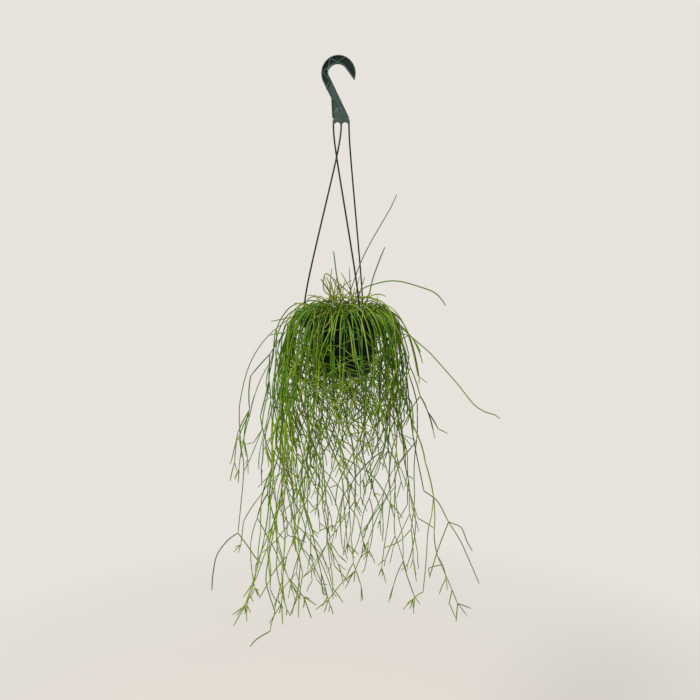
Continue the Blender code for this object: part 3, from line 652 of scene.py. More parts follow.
# %% Drill the strand holes and the drain holes
FLANGE_HOLE_RADIUS = 0.0020
DRAIN_HOLES, DRAIN_RADIUS, DRAIN_CIRCLE = 6, 0.0040, 0.0290
THROUGH_RIM, THROUGH_BASE = (-0.004, 0.002), (-0.003, 0.006)
HOLE_SIDES = 24


def drill(x, y, height, through, radius):
    """An upright cylinder to cut with, from low to high about this height."""
    low, high = height + through[0], height + through[1]
    clear_selection()
    bpy.ops.mesh.primitive_cylinder_add(vertices=HOLE_SIDES, radius=radius, depth=high - low,
                                        location=(x, y, (low + high) / 2))
    return bpy.context.object


drills = []
for angle in LUG_ANGLES:
    x, y, _ = around(LUG_RADIUS, angle, 0.0)
    drills.append(drill(x, y, RIM_TOP, THROUGH_RIM, FLANGE_HOLE_RADIUS))
for k in range(DRAIN_HOLES):
    x, y, _ = around(DRAIN_CIRCLE, 360.0 * k / DRAIN_HOLES, 0.0)
    drills.append(drill(x, y, base_height, THROUGH_BASE, DRAIN_RADIUS))
combine(pot, drills, "DIFFERENCE")
dress(pot, "pot_shell", pot_plastic, "pot_plastic", "pot")

# %% [markdown]
# ## Potting mix
#
# The mix is dark and crumbly, with chips of bark and a few white grains of perlite. Stems hide it from the
# side, but not from above. Its top is a turned disc whose points are lifted by a noise, and the chips are one
# small faceted stone, flattened and copied with its own mesh each time.

# %% Turn the soil
SOIL_TOP = RIM_TOP - 0.0120
SOIL_RINGS, SOIL_SIDES, SOIL_MIDDLE = 22, 96, 0.96
SOIL_FOOT, SOIL_WALL_TOP, SOIL_WALL_RINGS = 0.0980, 0.0140, 7
CLOD_HEIGHT, CLOD_SINK = 0.0022, 0.3
CLOD_SCALE, CRUMB_SCALE, CRUMB_SHARE = 130.0, 420.0, 0.6
EDGE_FADE, ON_TOP_WITHIN = 4.0, 1e-5

soil_edge = float(body_radius(RIM_TOP - SOIL_TOP)) - WALL - GAP
soil_profile = (
    [(0.0300, base_height + 0.0036), (0.0440, base_height + 0.0042)]
    + wall_line(WALL + GAP, np.linspace(SOIL_FOOT, SOIL_WALL_TOP, SOIL_WALL_RINGS))
    + [(soil_edge * (1.0 - SOIL_MIDDLE * k / SOIL_RINGS), SOIL_TOP) for k in range(SOIL_RINGS + 1)]
)
soil = lathe(soil_profile, SOIL_SIDES)
for vertex in soil.data.vertices:
    if vertex.co.z > SOIL_TOP - ON_TOP_WITHIN:
        reach = math.hypot(vertex.co.x, vertex.co.y) / soil_edge
        clod = noise.noise(vertex.co * CLOD_SCALE) + CRUMB_SHARE * noise.noise(vertex.co * CRUMB_SCALE)
        vertex.co.z += CLOD_HEIGHT * min(1.0, EDGE_FADE * (1.0 - reach)) * (clod - CLOD_SINK)

soil_finish, soil_shader = new_material("potting_mix_crumb", (0.05, 0.03, 0.02), 0.95)
crumbs = noise_pattern(soil_finish, 480.0, 6.0)
crumb_tones = colour_ramp(soil_finish, crumbs, (0.25, (0.012, 0.008, 0.005)), (0.55, (0.050, 0.030, 0.018)),
                          (0.80, (0.130, 0.085, 0.050)))
link(soil_finish, crumb_tones, soil_shader.inputs["Base Color"])
grain(soil_finish, soil_shader, crumbs, 0.9, 0.0012)
dress(soil, "soil_crumb", soil_finish, "potting_mix", "soil")

# %% Scatter the bark chips and perlite
CHIPS, CHIP_SEED = 420, 5
CHIP_REACH, CHIP_LIFT = 0.058, (-0.0002, 0.0010)
CHIP_TURN, CHIP_TILT, CHIP_BREADTH = 6.28, 0.3, 0.62
BARK_SIZE, BARK_FLATNESS, BARK_TONES = (0.0014, 0.0042), (0.22, 0.45), (0.15, 0.35, 0.55, 0.75)
PERLITE_SIZE, PERLITE_FLATNESS, PERLITE_TONE = (0.0010, 0.0019), (0.7, 0.95), 1.0
PERLITE_SHARE = 0.14

chip_rng = np.random.default_rng(CHIP_SEED)
clear_selection()
bpy.ops.mesh.primitive_ico_sphere_add(subdivisions=1, radius=1.0)
chip = bpy.context.object
chips = []
for k in range(CHIPS):
    copy = bpy.data.objects.new(f"chip_{k}", chip.data.copy())
    bpy.context.scene.collection.objects.link(copy)
    away = CHIP_REACH * math.sqrt(chip_rng.random())
    spot = around(away, chip_rng.uniform(0.0, 360.0), SOIL_TOP + chip_rng.uniform(*CHIP_LIFT))
    perlite = chip_rng.random() < PERLITE_SHARE
    size = chip_rng.uniform(*(PERLITE_SIZE if perlite else BARK_SIZE))
    flat = chip_rng.uniform(*(PERLITE_FLATNESS if perlite else BARK_FLATNESS))
    turn = Matrix.Rotation(chip_rng.uniform(0.0, CHIP_TURN), 4, "Z")
    turn = turn @ Matrix.Rotation(chip_rng.normal(0.0, CHIP_TILT), 4, "X")
    shape = Matrix.Diagonal((size, size * CHIP_BREADTH, size * flat, 1.0))
    copy.data.transform(Matrix.Translation(spot) @ turn @ shape)
    shade = PERLITE_TONE if perlite else chip_rng.choice(BARK_TONES)
    copy.data.attributes.new("tone", "FLOAT", "POINT")
    copy.data.attributes["tone"].data.foreach_set("value", [shade] * len(copy.data.vertices))
    chips.append(copy)
bpy.data.objects.remove(chip)
clear_selection()
for copy in chips:
    copy.select_set(True)
bpy.context.view_layer.objects.active = chips[0]
bpy.ops.object.join()

chip_finish, chip_shader = new_material("bark_and_perlite", (0.2, 0.12, 0.07), 0.85)
tone = new_node(chip_finish, "Attribute")
tone.attribute_name = "tone"
chip_tones = colour_ramp(chip_finish, tone.outputs["Fac"], (0.10, (0.030, 0.016, 0.008)),
                         (0.50, (0.120, 0.060, 0.028)), (0.80, (0.220, 0.130, 0.070)),
                         (0.95, (0.700, 0.680, 0.620)))
link(chip_finish, chip_tones, chip_shader.inputs["Base Color"])
grain(chip_finish, chip_shader, noise_pattern(chip_finish, 900.0), 0.7, 0.0005)
dress(chips[0], "soil_chips", chip_finish, "potting_mix")

# %% [markdown]
# ## How the stems grow
#
# The CAD model grew its stems by a rule with seeded draws: a first stem rises from its crown, arches over the
# rim and hangs, then goes on at joints and throws side shoots there. The same rule and seeds are repeated
# here, so the fine stems follow the CAD ones. It keeps every new stem clear of the pot, the strands and the
# other stems, which it knows as straight runs with a radius.

# %% Numbers of the rule
SEED, CROWNS, CROWN_SPREAD = 3402, 34, 0.0520
GOLDEN_ANGLE = math.pi * (3.0 - math.sqrt(5.0))
CROWN_RADIUS, CROWN_TOP_HEIGHT = 0.0038, 0.0060
STEM_RADIUS = 0.0014
STEP, SMOOTH_STEPS, THIN_WITHIN = 0.006, 6, 0.0027
ROOT_LIFT, ROOT_OFFSET = 0.0015, 0.0011
STEM_GAP, STRAND_GAP, POT_CLEARANCE, POT_CHECK_STEP = 0.0004, 0.0006, 0.0024, 0.004
ROOT_FREE, JOINT_FREE, MOST_FREE, TRIES = 0.012, 0.009, 0.95, 14
FORM_FOOT, FORM_FOOT_SLOPE, FORM_LOWEST = -1.000, 0.50, -1.045
STEMS_PER_CROWN = 7
FRONT_SHORTER, LEFT_LONGER = 0.16, 0.25
ARCH_REACH, ARCH_POWER, ARCH_LENGTH = 1.25, 1.6, 1.7
TILT_WAVE, TILT_WAVE_LENGTH, TILT_WAVE_SHIFT = 0.07, 0.045, 3.0
TURN_DRIFT, TURN_WAVE, TURN_WAVE_LENGTH = 1.2, 0.10, 0.030
FLARE_FADE, FLARE_SHAPE, HANG_SHAPE = 0.22, (1.0, 1.5), (1.1, 1.7)
LENGTH_CHANGE, SIDE_LENGTH, LEAST_FALL = (0.75, 1.25), 0.9, 0.03
BOX_MARGIN = 0.006
LOW_EDGE, HIGH_EDGE = np.array(cad_low) - BOX_MARGIN, np.array(cad_high) + BOX_MARGIN

LONG_HABIT = SimpleNamespace(
    lean=(14.0, 48.0), rise=(0.0, 0.013), hang_radius=0.078, hang_spread=0.015, first_drop=(-0.01, 0.13),
    flare=(0.19, 0.96), later_length=(0.045, 0.100), on=(6.0, 28.0), side=(24.0, 56.0), droop=6.0, sway=4.5,
    fall=(0.04, 0.53), fall_shape=(0.81, 1.86), side_chance=0.29, later_side_chance=0.19, radius=0.102,
    spread=0.20, heading_spread=(0.35, 1.25), fork_late=0.0, room=POT_CLEARANCE, body=STEM_RADIUS,
    apart=STEM_RADIUS, crowded=False, within=THIN_WITHIN)
print("growth box", LOW_EDGE.round(3), HIGH_EDGE.round(3))

# %% Room between the stems
def crown_place(index):
    """The crowns stand in the soil on a sunflower's spiral, evenly spread."""
    radius = CROWN_SPREAD * math.sqrt((index + 0.5) / CROWNS)
    angle = index * GOLDEN_ANGLE
    return np.array((radius * math.cos(angle), radius * math.sin(angle), SOIL_TOP))


class Space:
    """What each stem has to stay clear of: straight runs with a radius, each owned by a crown."""

    def __init__(self):
        self.starts, self.ends = np.empty((0, 3)), np.empty((0, 3))
        self.radii, self.owners = np.empty(0), np.empty(0, int)

    def fill(self, line, radius, owner):
        line = np.array(line)
        count = len(line) - 1
        self.starts = np.vstack((self.starts, line[:-1]))
        self.ends = np.vstack((self.ends, line[1:]))
        self.radii = np.append(self.radii, np.full(count, radius))
        self.owners = np.append(self.owners, np.full(count, owner))

    def is_clear(self, line, radius, owner, free, crowded=False):
        """Whether the line keeps its gap to every run. Its free first length may touch its own node's runs,
        and where it is crowded any run."""
        reach = radius + CROWN_RADIUS + STEM_GAP
        low, high = line.min(axis=0) - reach, line.max(axis=0) + reach
        near = (
            (np.maximum(self.starts, self.ends) > low).all(axis=1)
            & (np.minimum(self.starts, self.ends) < high).all(axis=1)
        )
        later = line.copy()
        later[0] += (line[1] - line[0]) * min(MOST_FREE, free / np.linalg.norm(line[1] - line[0]))
        own = self.owners == owner
        for chosen, tested in ((near & ~own, later if crowded else line), (near & own, later)):
            if not chosen.any():
                continue
            apart = run_distances(tested[:-1], tested[1:], self.starts[chosen], self.ends[chosen])
            if (apart < radius + self.radii[chosen] + STEM_GAP).any():
                return False
        return True


# %% Distances between runs, and what the pot takes up
PARALLEL = 1e-14


def run_distances(starts, ends, other_starts, other_ends):
    """The least distance from each straight run to each of the others."""
    way = (ends - starts)[:, None]
    other_way = (other_ends - other_starts)[None]
    between = starts[:, None] - other_starts[None]
    a = (way * way).sum(axis=2)
    e = (other_way * other_way).sum(axis=2)
    b = (way * other_way).sum(axis=2)
    c = (way * between).sum(axis=2)
    f = (other_way * between).sum(axis=2)
    spread = a * e - b * b
    s = np.clip(np.where(spread > PARALLEL, (b * f - c * e) / np.maximum(spread, PARALLEL), 0.0), 0.0, 1.0)
    t = np.clip((b * s + f) / e, 0.0, 1.0)
    s = np.clip((b * t - c) / a, 0.0, 1.0)
    return np.linalg.norm(between + way * s[..., None] - other_way * t[..., None], axis=2)


def clears_pot(line, room):
    """Whether points along the line keep this room to the rim, the wall and the soil."""
    dense = [line[0]]
    for start, end in zip(line, line[1:]):
        count = max(1, int(np.linalg.norm(end - start) / POT_CHECK_STEP))
        dense += [start + (end - start) * k / count for k in range(1, count + 1)]
    dense = np.array(dense[1:])
    radius, height = np.hypot(dense[:, 0], dense[:, 1]), dense[:, 2]
    room = room + STEM_RADIUS
    depth = RIM_TOP - height
    inner = BODY_TOP_RADIUS - WALL - room
    above_skirt_foot = depth < SKIRT_HEIGHT + room
    on_rim = (radius > inner) & (radius < RIM_RADIUS + room) & (depth > -room) & above_skirt_foot
    in_body = (depth > SKIRT_HEIGHT) & (depth < POT_HEIGHT + room) & (radius < body_radius(depth) + room)
    in_soil = (radius <= inner) & (height < SOIL_TOP + STEM_RADIUS) & above_skirt_foot
    return not (on_rim | in_body | in_soil).any()


# %% The form of the plant
def keeps_form(line, habit):
    """Whether the line stays inside the mass of the plant, which widens as it hangs."""
    depth = np.maximum(RIM_TOP - line[:, 2], 0.0)
    radius = np.hypot(line[:, 0], line[:, 1])
    foot = max(FORM_LOWEST, FORM_FOOT - FORM_FOOT_SLOPE * line[-1][1])
    return bool((radius < habit.radius + habit.spread * depth).all() and line[-1][2] > foot)


def in_box(line):
    return bool((line > LOW_EDGE).all() and (line < HIGH_EDGE).all())


def has_room(space, line, owner, free, habit):
    return (keeps_form(line, habit) and clears_pot(line, habit.room) and (not habit.crowded or in_box(line))
            and space.is_clear(line, habit.apart, owner, free, habit.crowded))


# %% Shapes of stem
ODD_WAY = np.array((0.36, 0.48, 0.8))


def arching(rng, base, heading, rise, reach, flare, length, habit):
    """A first stem: it rises from the crown, arches out over the rim and hangs."""
    lean = math.radians(rng.uniform(*habit.lean))
    sway, phase, drift, wave = rng.uniform(-1, 1, 4)
    turn_length = reach / ARCH_REACH
    points = [base]
    for i in range(max(3, int(length / STEP))):
        s = (i + 0.5) * STEP
        turned_by = 1.0 - math.exp(-((max(s - rise, 0.0) / turn_length) ** ARCH_POWER))
        hang = math.pi - flare * math.exp(-s / FLARE_FADE)
        tilt = lean + (hang - lean) * turned_by
        tilt += TILT_WAVE * sway * math.sin(s / TILT_WAVE_LENGTH + TILT_WAVE_SHIFT * phase)
        way = heading + TURN_DRIFT * drift * s + TURN_WAVE * wave * math.sin(s / TURN_WAVE_LENGTH)
        points.append(points[-1] + STEP * np.array((
            math.sin(tilt) * math.cos(way), math.sin(tilt) * math.sin(way), math.cos(tilt))))
    return np.array(points)


def young(rng, start, way, length, habit):
    """A later length of stem: it sets off from a joint and bends down under its own weight."""
    points = [start]
    pull = STEP * np.array((habit.sway * rng.uniform(-1, 1), habit.sway * rng.uniform(-1, 1), -habit.droop))
    for _ in range(max(2, int(length / STEP))):
        way = unit(way + pull)
        points.append(points[-1] + way * STEP)
    return np.array(points)


def splayed(rng, way, low, high):
    """The direction turned aside by an angle between low and high degrees, any way round."""
    side = unit(np.cross(way, ODD_WAY))
    other = np.cross(way, side)
    angle, turn = math.radians(rng.uniform(low, high)), rng.uniform(0, 2 * math.pi)
    return math.cos(angle) * way + math.sin(angle) * (math.cos(turn) * side + math.sin(turn) * other)


def through(points):
    """A smooth line through given points, with a run of steps between each two."""
    points = [np.array(p) for p in points]
    ends = [2 * points[0] - points[1]] + points + [2 * points[-1] - points[-2]]
    line = [points[0]]
    for a, b, c, d in zip(ends, ends[1:], ends[2:], ends[3:]):
        for k in range(1, SMOOTH_STEPS + 1):
            t = k / SMOOTH_STEPS
            line.append(0.5 * (2 * b + (c - a) * t + (2 * a - 5 * b + 4 * c - d) * t ** 2
                               + (3 * b - a - 3 * c + d) * t ** 3))
    return np.array(line)


# %% Growth at the joints
class Cutting:
    """One rooted cutting: its fine lengths of stem, each with its order from the crown and its rust."""

    def __init__(self):
        self.lengths = []

    def add(self, points, order, rust=0.0):
        self.lengths.append((np.array(points), order, rust))


def grow_on(rng, space, owner, start, way, length, angles, habit):
    """A later length of stem that clears everything, thinned and fine, or nothing where there is no room."""
    for _ in range(TRIES):
        fine = young(rng, start, splayed(rng, way, *angles), length * rng.uniform(*LENGTH_CHANGE), habit)
        points = thin(fine, habit.within)
        if has_room(space, points, owner, JOINT_FREE, habit):
            return points, fine
    return None


def grow_branch(rng, space, owner, cutting, line, order, lengths, chance, habit):
    """The line goes on at each joint, and throws side shoots there that grow in the same way."""
    joints = []
    for place in range(len(lengths)):
        way = unit(line[-1] - line[-2])
        joints.append((line[-1], way, order + place, lengths[place:]))
        longer = grow_on(rng, space, owner, line[-1], way, lengths[place], habit.on, habit)
        if longer is None:
            break
        cutting.add(longer[1], order + place + 1)
        line = np.vstack((line, longer[0][1:]))
    space.fill(line, habit.body, owner)
    for place, (joint, way, joint_order, rest) in enumerate(joints):
        if rng.random() > chance * ((place + 1) / len(joints)) ** habit.fork_late:
            continue
        side = grow_on(rng, space, owner, joint, way, rest[0] * SIDE_LENGTH, habit.side, habit)
        if side is not None:
            cutting.add(side[1], joint_order + 1)
            grow_branch(rng, space, owner, cutting, side[0], joint_order + 1, rest[1:],
                        habit.later_side_chance, habit)


# %% First stems, and how far they hang
def first_stem(rng, space, owner, crown, habit):
    """The crown's next arching stem, drawn again until it clears the rim and the other nodes."""
    radius = math.hypot(crown[0], crown[1])
    outward = math.atan2(crown[1], crown[0])
    inner_share = 1.0 - radius / CROWN_SPREAD
    outer_spread, inner_spread = habit.heading_spread
    spread = outer_spread + (inner_spread - outer_spread) * inner_share
    for _ in range(TRIES * 3):
        heading = outward + rng.normal(0.0, spread)
        hang_at = habit.hang_radius + habit.hang_spread * rng.beta(*HANG_SHAPE)
        reach = hang_at - radius * math.cos(heading - outward)
        rise = rng.uniform(*habit.rise)
        length = rise + reach * ARCH_LENGTH + rng.uniform(*habit.first_drop)
        beside = (ROOT_OFFSET * math.cos(heading), ROOT_OFFSET * math.sin(heading), ROOT_LIFT)
        flare = habit.flare[0] + (habit.flare[1] - habit.flare[0]) * rng.beta(*FLARE_SHAPE)
        fine = arching(rng, crown + np.array(beside), heading, rise, reach, flare, length, habit)
        points = thin(fine, habit.within)
        if has_room(space, points, owner, ROOT_FREE, habit):
            return points, fine
    return None


def whole_fall(rng, line, habit):
    """How far under the rim a stem hangs in all: less in front and behind, and more on the left."""
    x, y, _ = line[-1]
    beside = abs(x) / math.hypot(x, y)
    fall = habit.fall[0] + (habit.fall[1] - habit.fall[0]) * rng.beta(*habit.fall_shape)
    fall *= 1.0 - FRONT_SHORTER * (1.0 - beside)
    return fall * (1.0 + LEFT_LONGER * beside if x < 0.0 else 1.0)


def later_lengths(rng, left, habit):
    """The lengths between joints that take a stem down by about this much more."""
    lengths = []
    while left > LEAST_FALL:
        lengths.append(rng.uniform(*habit.later_length))
        left -= lengths[-1]
    return lengths


def grow_stems(rng, space, index, crown, cutting, wanted, habit):
    for _ in range(wanted):
        grown = first_stem(rng, space, index, crown, habit)
        if grown is None:
            continue
        line, fine = grown
        cutting.add(fine, 0)
        lengths = later_lengths(rng, whole_fall(rng, line, habit) - (RIM_TOP - line[-1][2]), habit)
        grow_branch(rng, space, index, cutting, line, 0, lengths, habit.side_chance, habit)


# %% [markdown]
# ## The stems that stand out
#
# Some stems catch the eye in the photograph, so they are given as points that each one passes: the
# tall shoots, the long stem that leans out to the right, the outer stems on both sides, the lowest tip, and a
# loop above the crowns. A length that grows on from another starts at that one's last point.

# %% Stems placed one by one
TALL_SHOOT = ((0.0138, 0.0, -0.3985), (0.0263, 0.002, -0.3604), (0.0365, 0.003, -0.3343),
              (0.0544, 0.004, -0.2995), (0.0864, 0.004, -0.2449), (0.0986, 0.004, -0.2187))
LEFT_SHOOT = ((-0.0030, 0.0, -0.4016), (-0.0100, -0.004, -0.3600), (-0.0149, -0.008, -0.3193))
RIGHT_SHOOT = ((0.0470, 0.016, -0.4082), (0.0573, 0.020, -0.3681), (0.0700, 0.022, -0.3330),
               (0.0791, 0.022, -0.3114))
ARCHING_SHOOT = ((0.0305, -0.014, -0.3944), (0.0599, -0.012, -0.3782), (0.0996, -0.010, -0.3728),
                 (0.1503, -0.010, -0.3863), (0.1723, -0.012, -0.3971), (0.1881, -0.014, -0.4170))
LONG_RIGHT_STEM = ((0.0560, -0.022, -0.4090), (0.0916, -0.030, -0.4416), (0.1273, -0.030, -0.4740),
                   (0.1584, -0.030, -0.5007), (0.1848, -0.030, -0.5296), (0.2123, -0.030, -0.5609),
                   (0.2372, -0.030, -0.5923), (0.2578, -0.030, -0.6084), (0.2781, -0.030, -0.6150),
                   (0.2894, -0.030, -0.6230))
OUTER_LEFT_STEM = ((-0.0620, -0.006, -0.4170), (-0.0896, -0.010, -0.4361), (-0.1297, -0.012, -0.4672),
                   (-0.1571, -0.014, -0.5014), (-0.1759, -0.014, -0.5415), (-0.1885, -0.016, -0.5943),
                   (-0.1904, -0.018, -0.6248), (-0.1884, -0.020, -0.6761), (-0.1839, -0.022, -0.7256),
                   (-0.1982, -0.020, -0.8485))
OUTER_LEFT_TIP = (OUTER_LEFT_STEM[-1], (-0.2176, -0.020, -0.8626), (-0.2395, -0.021, -0.8929),
                  (-0.2484, -0.022, -0.9337), (-0.2513, -0.022, -0.9646))
OUTER_LEFT_FORK = (OUTER_LEFT_STEM[-1], (-0.1797, -0.024, -0.8727), (-0.1655, -0.028, -0.8929),
                   (-0.1519, -0.030, -0.9072))
LOW_LEFT_STEM = ((-0.0480, -0.038, -0.4240), (-0.0650, -0.053, -0.4110), (-0.0830, -0.067, -0.4300),
                 (-0.0920, -0.074, -0.4700), (-0.0960, -0.076, -0.6000), (-0.1080, -0.066, -0.7400),
                 (-0.1393, -0.040, -0.8927))
LOW_LEFT_NEXT = (LOW_LEFT_STEM[-1], (-0.1438, -0.042, -0.9328), (-0.1361, -0.044, -0.9650),
                 (-0.1274, -0.044, -0.9973))
LOW_LEFT_LAST = (LOW_LEFT_NEXT[-1], (-0.1345, -0.044, -1.0180), (-0.1374, -0.044, -1.0345))
LOWEST_TIP = (LOW_LEFT_LAST[-1], (-0.1632, -0.042, -1.0522), (-0.1776, -0.040, -1.0698))
OUTER_RIGHT_STEM = ((0.0660, -0.032, -0.4130), (0.0920, -0.044, -0.4320), (0.1070, -0.050, -0.4750),
                    (0.1180, -0.050, -0.5600), (0.1290, -0.044, -0.6500), (0.1532, -0.024, -0.7633))
OUTER_RIGHT_NEXT = (OUTER_RIGHT_STEM[-1], (0.1796, -0.022, -0.7850), (0.2011, -0.022, -0.8256))
OUTER_RIGHT_TIP = (OUTER_RIGHT_NEXT[-1], (0.2250, -0.022, -0.8645), (0.2471, -0.024, -0.9134),
                   (0.2621, -0.026, -0.9482))
OUTER_RIGHT_FORK = (OUTER_RIGHT_NEXT[-1], (0.2266, -0.014, -0.8402), (0.2390, -0.010, -0.8693),
                    (0.2512, -0.008, -0.8913))
OUTER_RIGHT_DROP = (OUTER_RIGHT_NEXT[-1], (0.1815, -0.026, -0.8792), (0.1661, -0.030, -0.9326))
LOOP_STEM = ((0.0210, -0.016, -0.4240), (0.0160, -0.019, -0.3975), (-0.0060, -0.020, -0.3770),
             (-0.0220, -0.020, -0.3622), (-0.0290, -0.020, -0.3600), (-0.0325, -0.020, -0.3690),
             (-0.0324, -0.020, -0.3868), (-0.0230, -0.022, -0.3970), (-0.0051, -0.024, -0.4010),
             (0.0200, -0.030, -0.4000), (0.0500, -0.040, -0.4010), (0.0760, -0.052, -0.4120),
             (0.0900, -0.060, -0.4400), (0.0950, -0.064, -0.4900))

PLACED = {
    0: (TALL_SHOOT,),
    1: (LEFT_SHOOT,),
    5: (ARCHING_SHOOT,),
    8: (RIGHT_SHOOT,),
    13: (LONG_RIGHT_STEM,),
    17: (OUTER_LEFT_STEM, OUTER_LEFT_TIP, OUTER_LEFT_FORK),
    26: (OUTER_RIGHT_STEM, OUTER_RIGHT_NEXT, OUTER_RIGHT_TIP, OUTER_RIGHT_FORK, OUTER_RIGHT_DROP),
    33: (LOW_LEFT_STEM, LOW_LEFT_NEXT, LOW_LEFT_LAST, LOWEST_TIP),
}
SHOOTS_ONLY = (0, 1, 8)
LOOP_CROWN, LOOP_RUST = 5, 0.3
print("cuttings with stems placed by hand", len(PLACED))

# %% Grow the stems of the CAD model
space = Space()
for index in range(3):
    space.fill(strand_line(index, STRAND_WITHIN), STRAND_RADIUS + STRAND_GAP, -1)
for index in range(CROWNS):
    root = crown_place(index)
    space.fill((root, root + np.array((0.0, 0.0, CROWN_TOP_HEIGHT))), CROWN_RADIUS, index)
cuttings = [Cutting() for _ in range(CROWNS)]
for index, placed in PLACED.items():
    root = crown_place(index) + np.array((0.0, 0.0, ROOT_LIFT))
    for order, points in enumerate(((root,) + placed[0],) + placed[1:]):
        fine = through(points)
        space.fill(thin(fine, THIN_WITHIN), STEM_RADIUS, index)
        cuttings[index].add(fine, 2 * min(order, 2))
for index in reversed(range(CROWNS)):
    if index not in SHOOTS_ONLY:
        wanted = STEMS_PER_CROWN - (index in PLACED)
        rng = np.random.default_rng(SEED + index)
        grow_stems(rng, space, index, crown_place(index), cuttings[index], wanted, LONG_HABIT)
print("lengths of stem as in the CAD model", sum(len(cutting.lengths) for cutting in cuttings))

# %% [markdown]
# ## Filling the plant out
#
# The real plant seems to have a few hundred first stems and more than a thousand tips. The same rule grows
# the rest in four habits: a curtain that hangs far down, a spray of shorter stems that flare out, a tangle
# close round the pot, and a mat over the soil. They may come closer to each other than the CAD stems do. Then
# free ends get short young tips, more of them low down, and thin shoots stand up out of the top or arch over
# it.

# %% Habits of the other stems
LOOSE = dict(room=0.0006, body=0.0008, apart=0.0002, crowded=True, within=0.0010)
CURTAIN_HABIT = SimpleNamespace(
    lean=(16.0, 50.0), rise=(0.0, 0.009), hang_radius=0.081, hang_spread=0.020, first_drop=(-0.01, 0.13),
    flare=(0.18, 1.03), later_length=(0.035, 0.085), on=(6.0, 26.0), side=(22.0, 50.0), droop=6.0, sway=5.0,
    fall=(0.43, 0.63), fall_shape=(1.0, 1.0), side_chance=0.76, later_side_chance=0.52, fork_late=1.5,
    radius=0.106, spread=0.28, heading_spread=(0.45, 1.6), **LOOSE)
SPRAY_HABIT = SimpleNamespace(
    lean=(18.0, 60.0), rise=(0.0, 0.006), hang_radius=0.084, hang_spread=0.030, first_drop=(0.0, 0.12),
    flare=(0.60, 1.60), later_length=(0.030, 0.070), on=(6.0, 30.0), side=(25.0, 60.0), droop=8.0, sway=5.0,
    fall=(0.06, 0.25), fall_shape=(1.0, 1.0), side_chance=0.63, later_side_chance=0.50, fork_late=0.5,
    radius=0.140, spread=0.27, heading_spread=(0.45, 1.6), **LOOSE)
TANGLE_HABIT = SimpleNamespace(
    lean=(20.0, 68.0), rise=(0.0, 0.004), hang_radius=0.079, hang_spread=0.012, first_drop=(-0.02, 0.04),
    flare=(0.05, 0.78), later_length=(0.018, 0.045), on=(12.0, 45.0), side=(32.0, 75.0), droop=5.0, sway=8.0,
    fall=(0.06, 0.30), fall_shape=(1.0, 1.2), side_chance=0.76, later_side_chance=0.50, fork_late=0.0,
    radius=0.098, spread=0.21, heading_spread=(0.55, 1.9), **LOOSE)
MAT_HABIT = SimpleNamespace(
    lean=(34.0, 78.0), rise=(0.0, 0.004), hang_radius=0.062, hang_spread=0.026, first_drop=(-0.05, 0.01),
    flare=(0.2, 0.9), later_length=(0.015, 0.040), on=(10.0, 50.0), side=(30.0, 80.0), droop=6.0, sway=8.0,
    fall=(-0.02, 0.05), fall_shape=(1.0, 1.0), side_chance=0.70, later_side_chance=0.35, fork_late=0.0,
    radius=0.096, spread=0.14, heading_spread=(1.2, 3.0), **LOOSE)

# %% Grow the rest between the crowns
FILL_SEED = 278
MORE_ROOTS, MORE_SPREAD, MORE_TURN, MORE_PIECES = 96, 0.0460, 1.0, 12
FILLS = (
    # habit, first stems at each root, how many of the outermost roots
    (CURTAIN_HABIT, 1, 19),
    (SPRAY_HABIT, 1, 27),
    (TANGLE_HABIT, 3, MORE_ROOTS),
    (MAT_HABIT, 1, MORE_ROOTS),
)


def more_root(k):
    """The roots of the other stems stand on a second spiral, between the crowns."""
    radius = MORE_SPREAD * math.sqrt((k + 0.5) / MORE_ROOTS)
    angle = k * GOLDEN_ANGLE + MORE_TURN
    return np.array((radius * math.cos(angle), radius * math.sin(angle), SOIL_TOP))


more = [Cutting() for _ in range(MORE_PIECES)]
for round_number, (habit, wanted, roots) in enumerate(FILLS):
    for k in range(MORE_ROOTS - roots, MORE_ROOTS):
        rng = np.random.default_rng(FILL_SEED + MORE_ROOTS * round_number + k)
        grow_stems(rng, space, CROWNS + k, more_root(k), more[k % MORE_PIECES], wanted, habit)
    print("more lengths of stem so far", sum(len(cutting.lengths) for cutting in more))
cuttings[LOOP_CROWN].add(through(LOOP_STEM), 0, LOOP_RUST)

# %% Young tips at the free ends
TIP_SEED = 77
TIPS_AT_END, TIPS_HIGH_UP = (1, 1, 2, 2, 3, 4), (0, 0, 0, 1, 1)
HIGH_UP = -0.640
TIP_LENGTH, TIP_SPLAY = (0.010, 0.044), (12.0, 50.0)
TIP_BEND, TIP_DROOP, TIP_RUST = 4.0, (-14.0, 4.0), 0.25
SHOOT_STEP, SHOOT_LEAST_STEPS = 0.003, 3
SAME_PLACE_DIGITS = 5
YOUNG = 5


def rounded_place(point):
    return tuple(np.round(point, SAME_PLACE_DIGITS))


def free_ends(cutting, placed):
    """The last point and direction of each length that none grows on from, past the given ones."""
    joints = {rounded_place(points[0]) for points, _, _ in cutting.lengths}
    ends = []
    for points, _, _ in cutting.lengths[placed:]:
        if rounded_place(points[-1]) not in joints:
            ends.append((points[-1], unit(points[-1] - points[-2])))
    return ends


def short_shoot(start, way, length, pull):
    """A short young length that bends evenly by this pull."""
    steps = max(SHOOT_LEAST_STEPS, int(length / SHOOT_STEP))
    points = [start]
    for _ in range(steps):
        way = unit(way + np.array(pull) * length / steps)
        points.append(points[-1] + way * length / steps)
    return np.array(points)


def fits(line):
    return in_box(line) and clears_pot(line, 0.0)


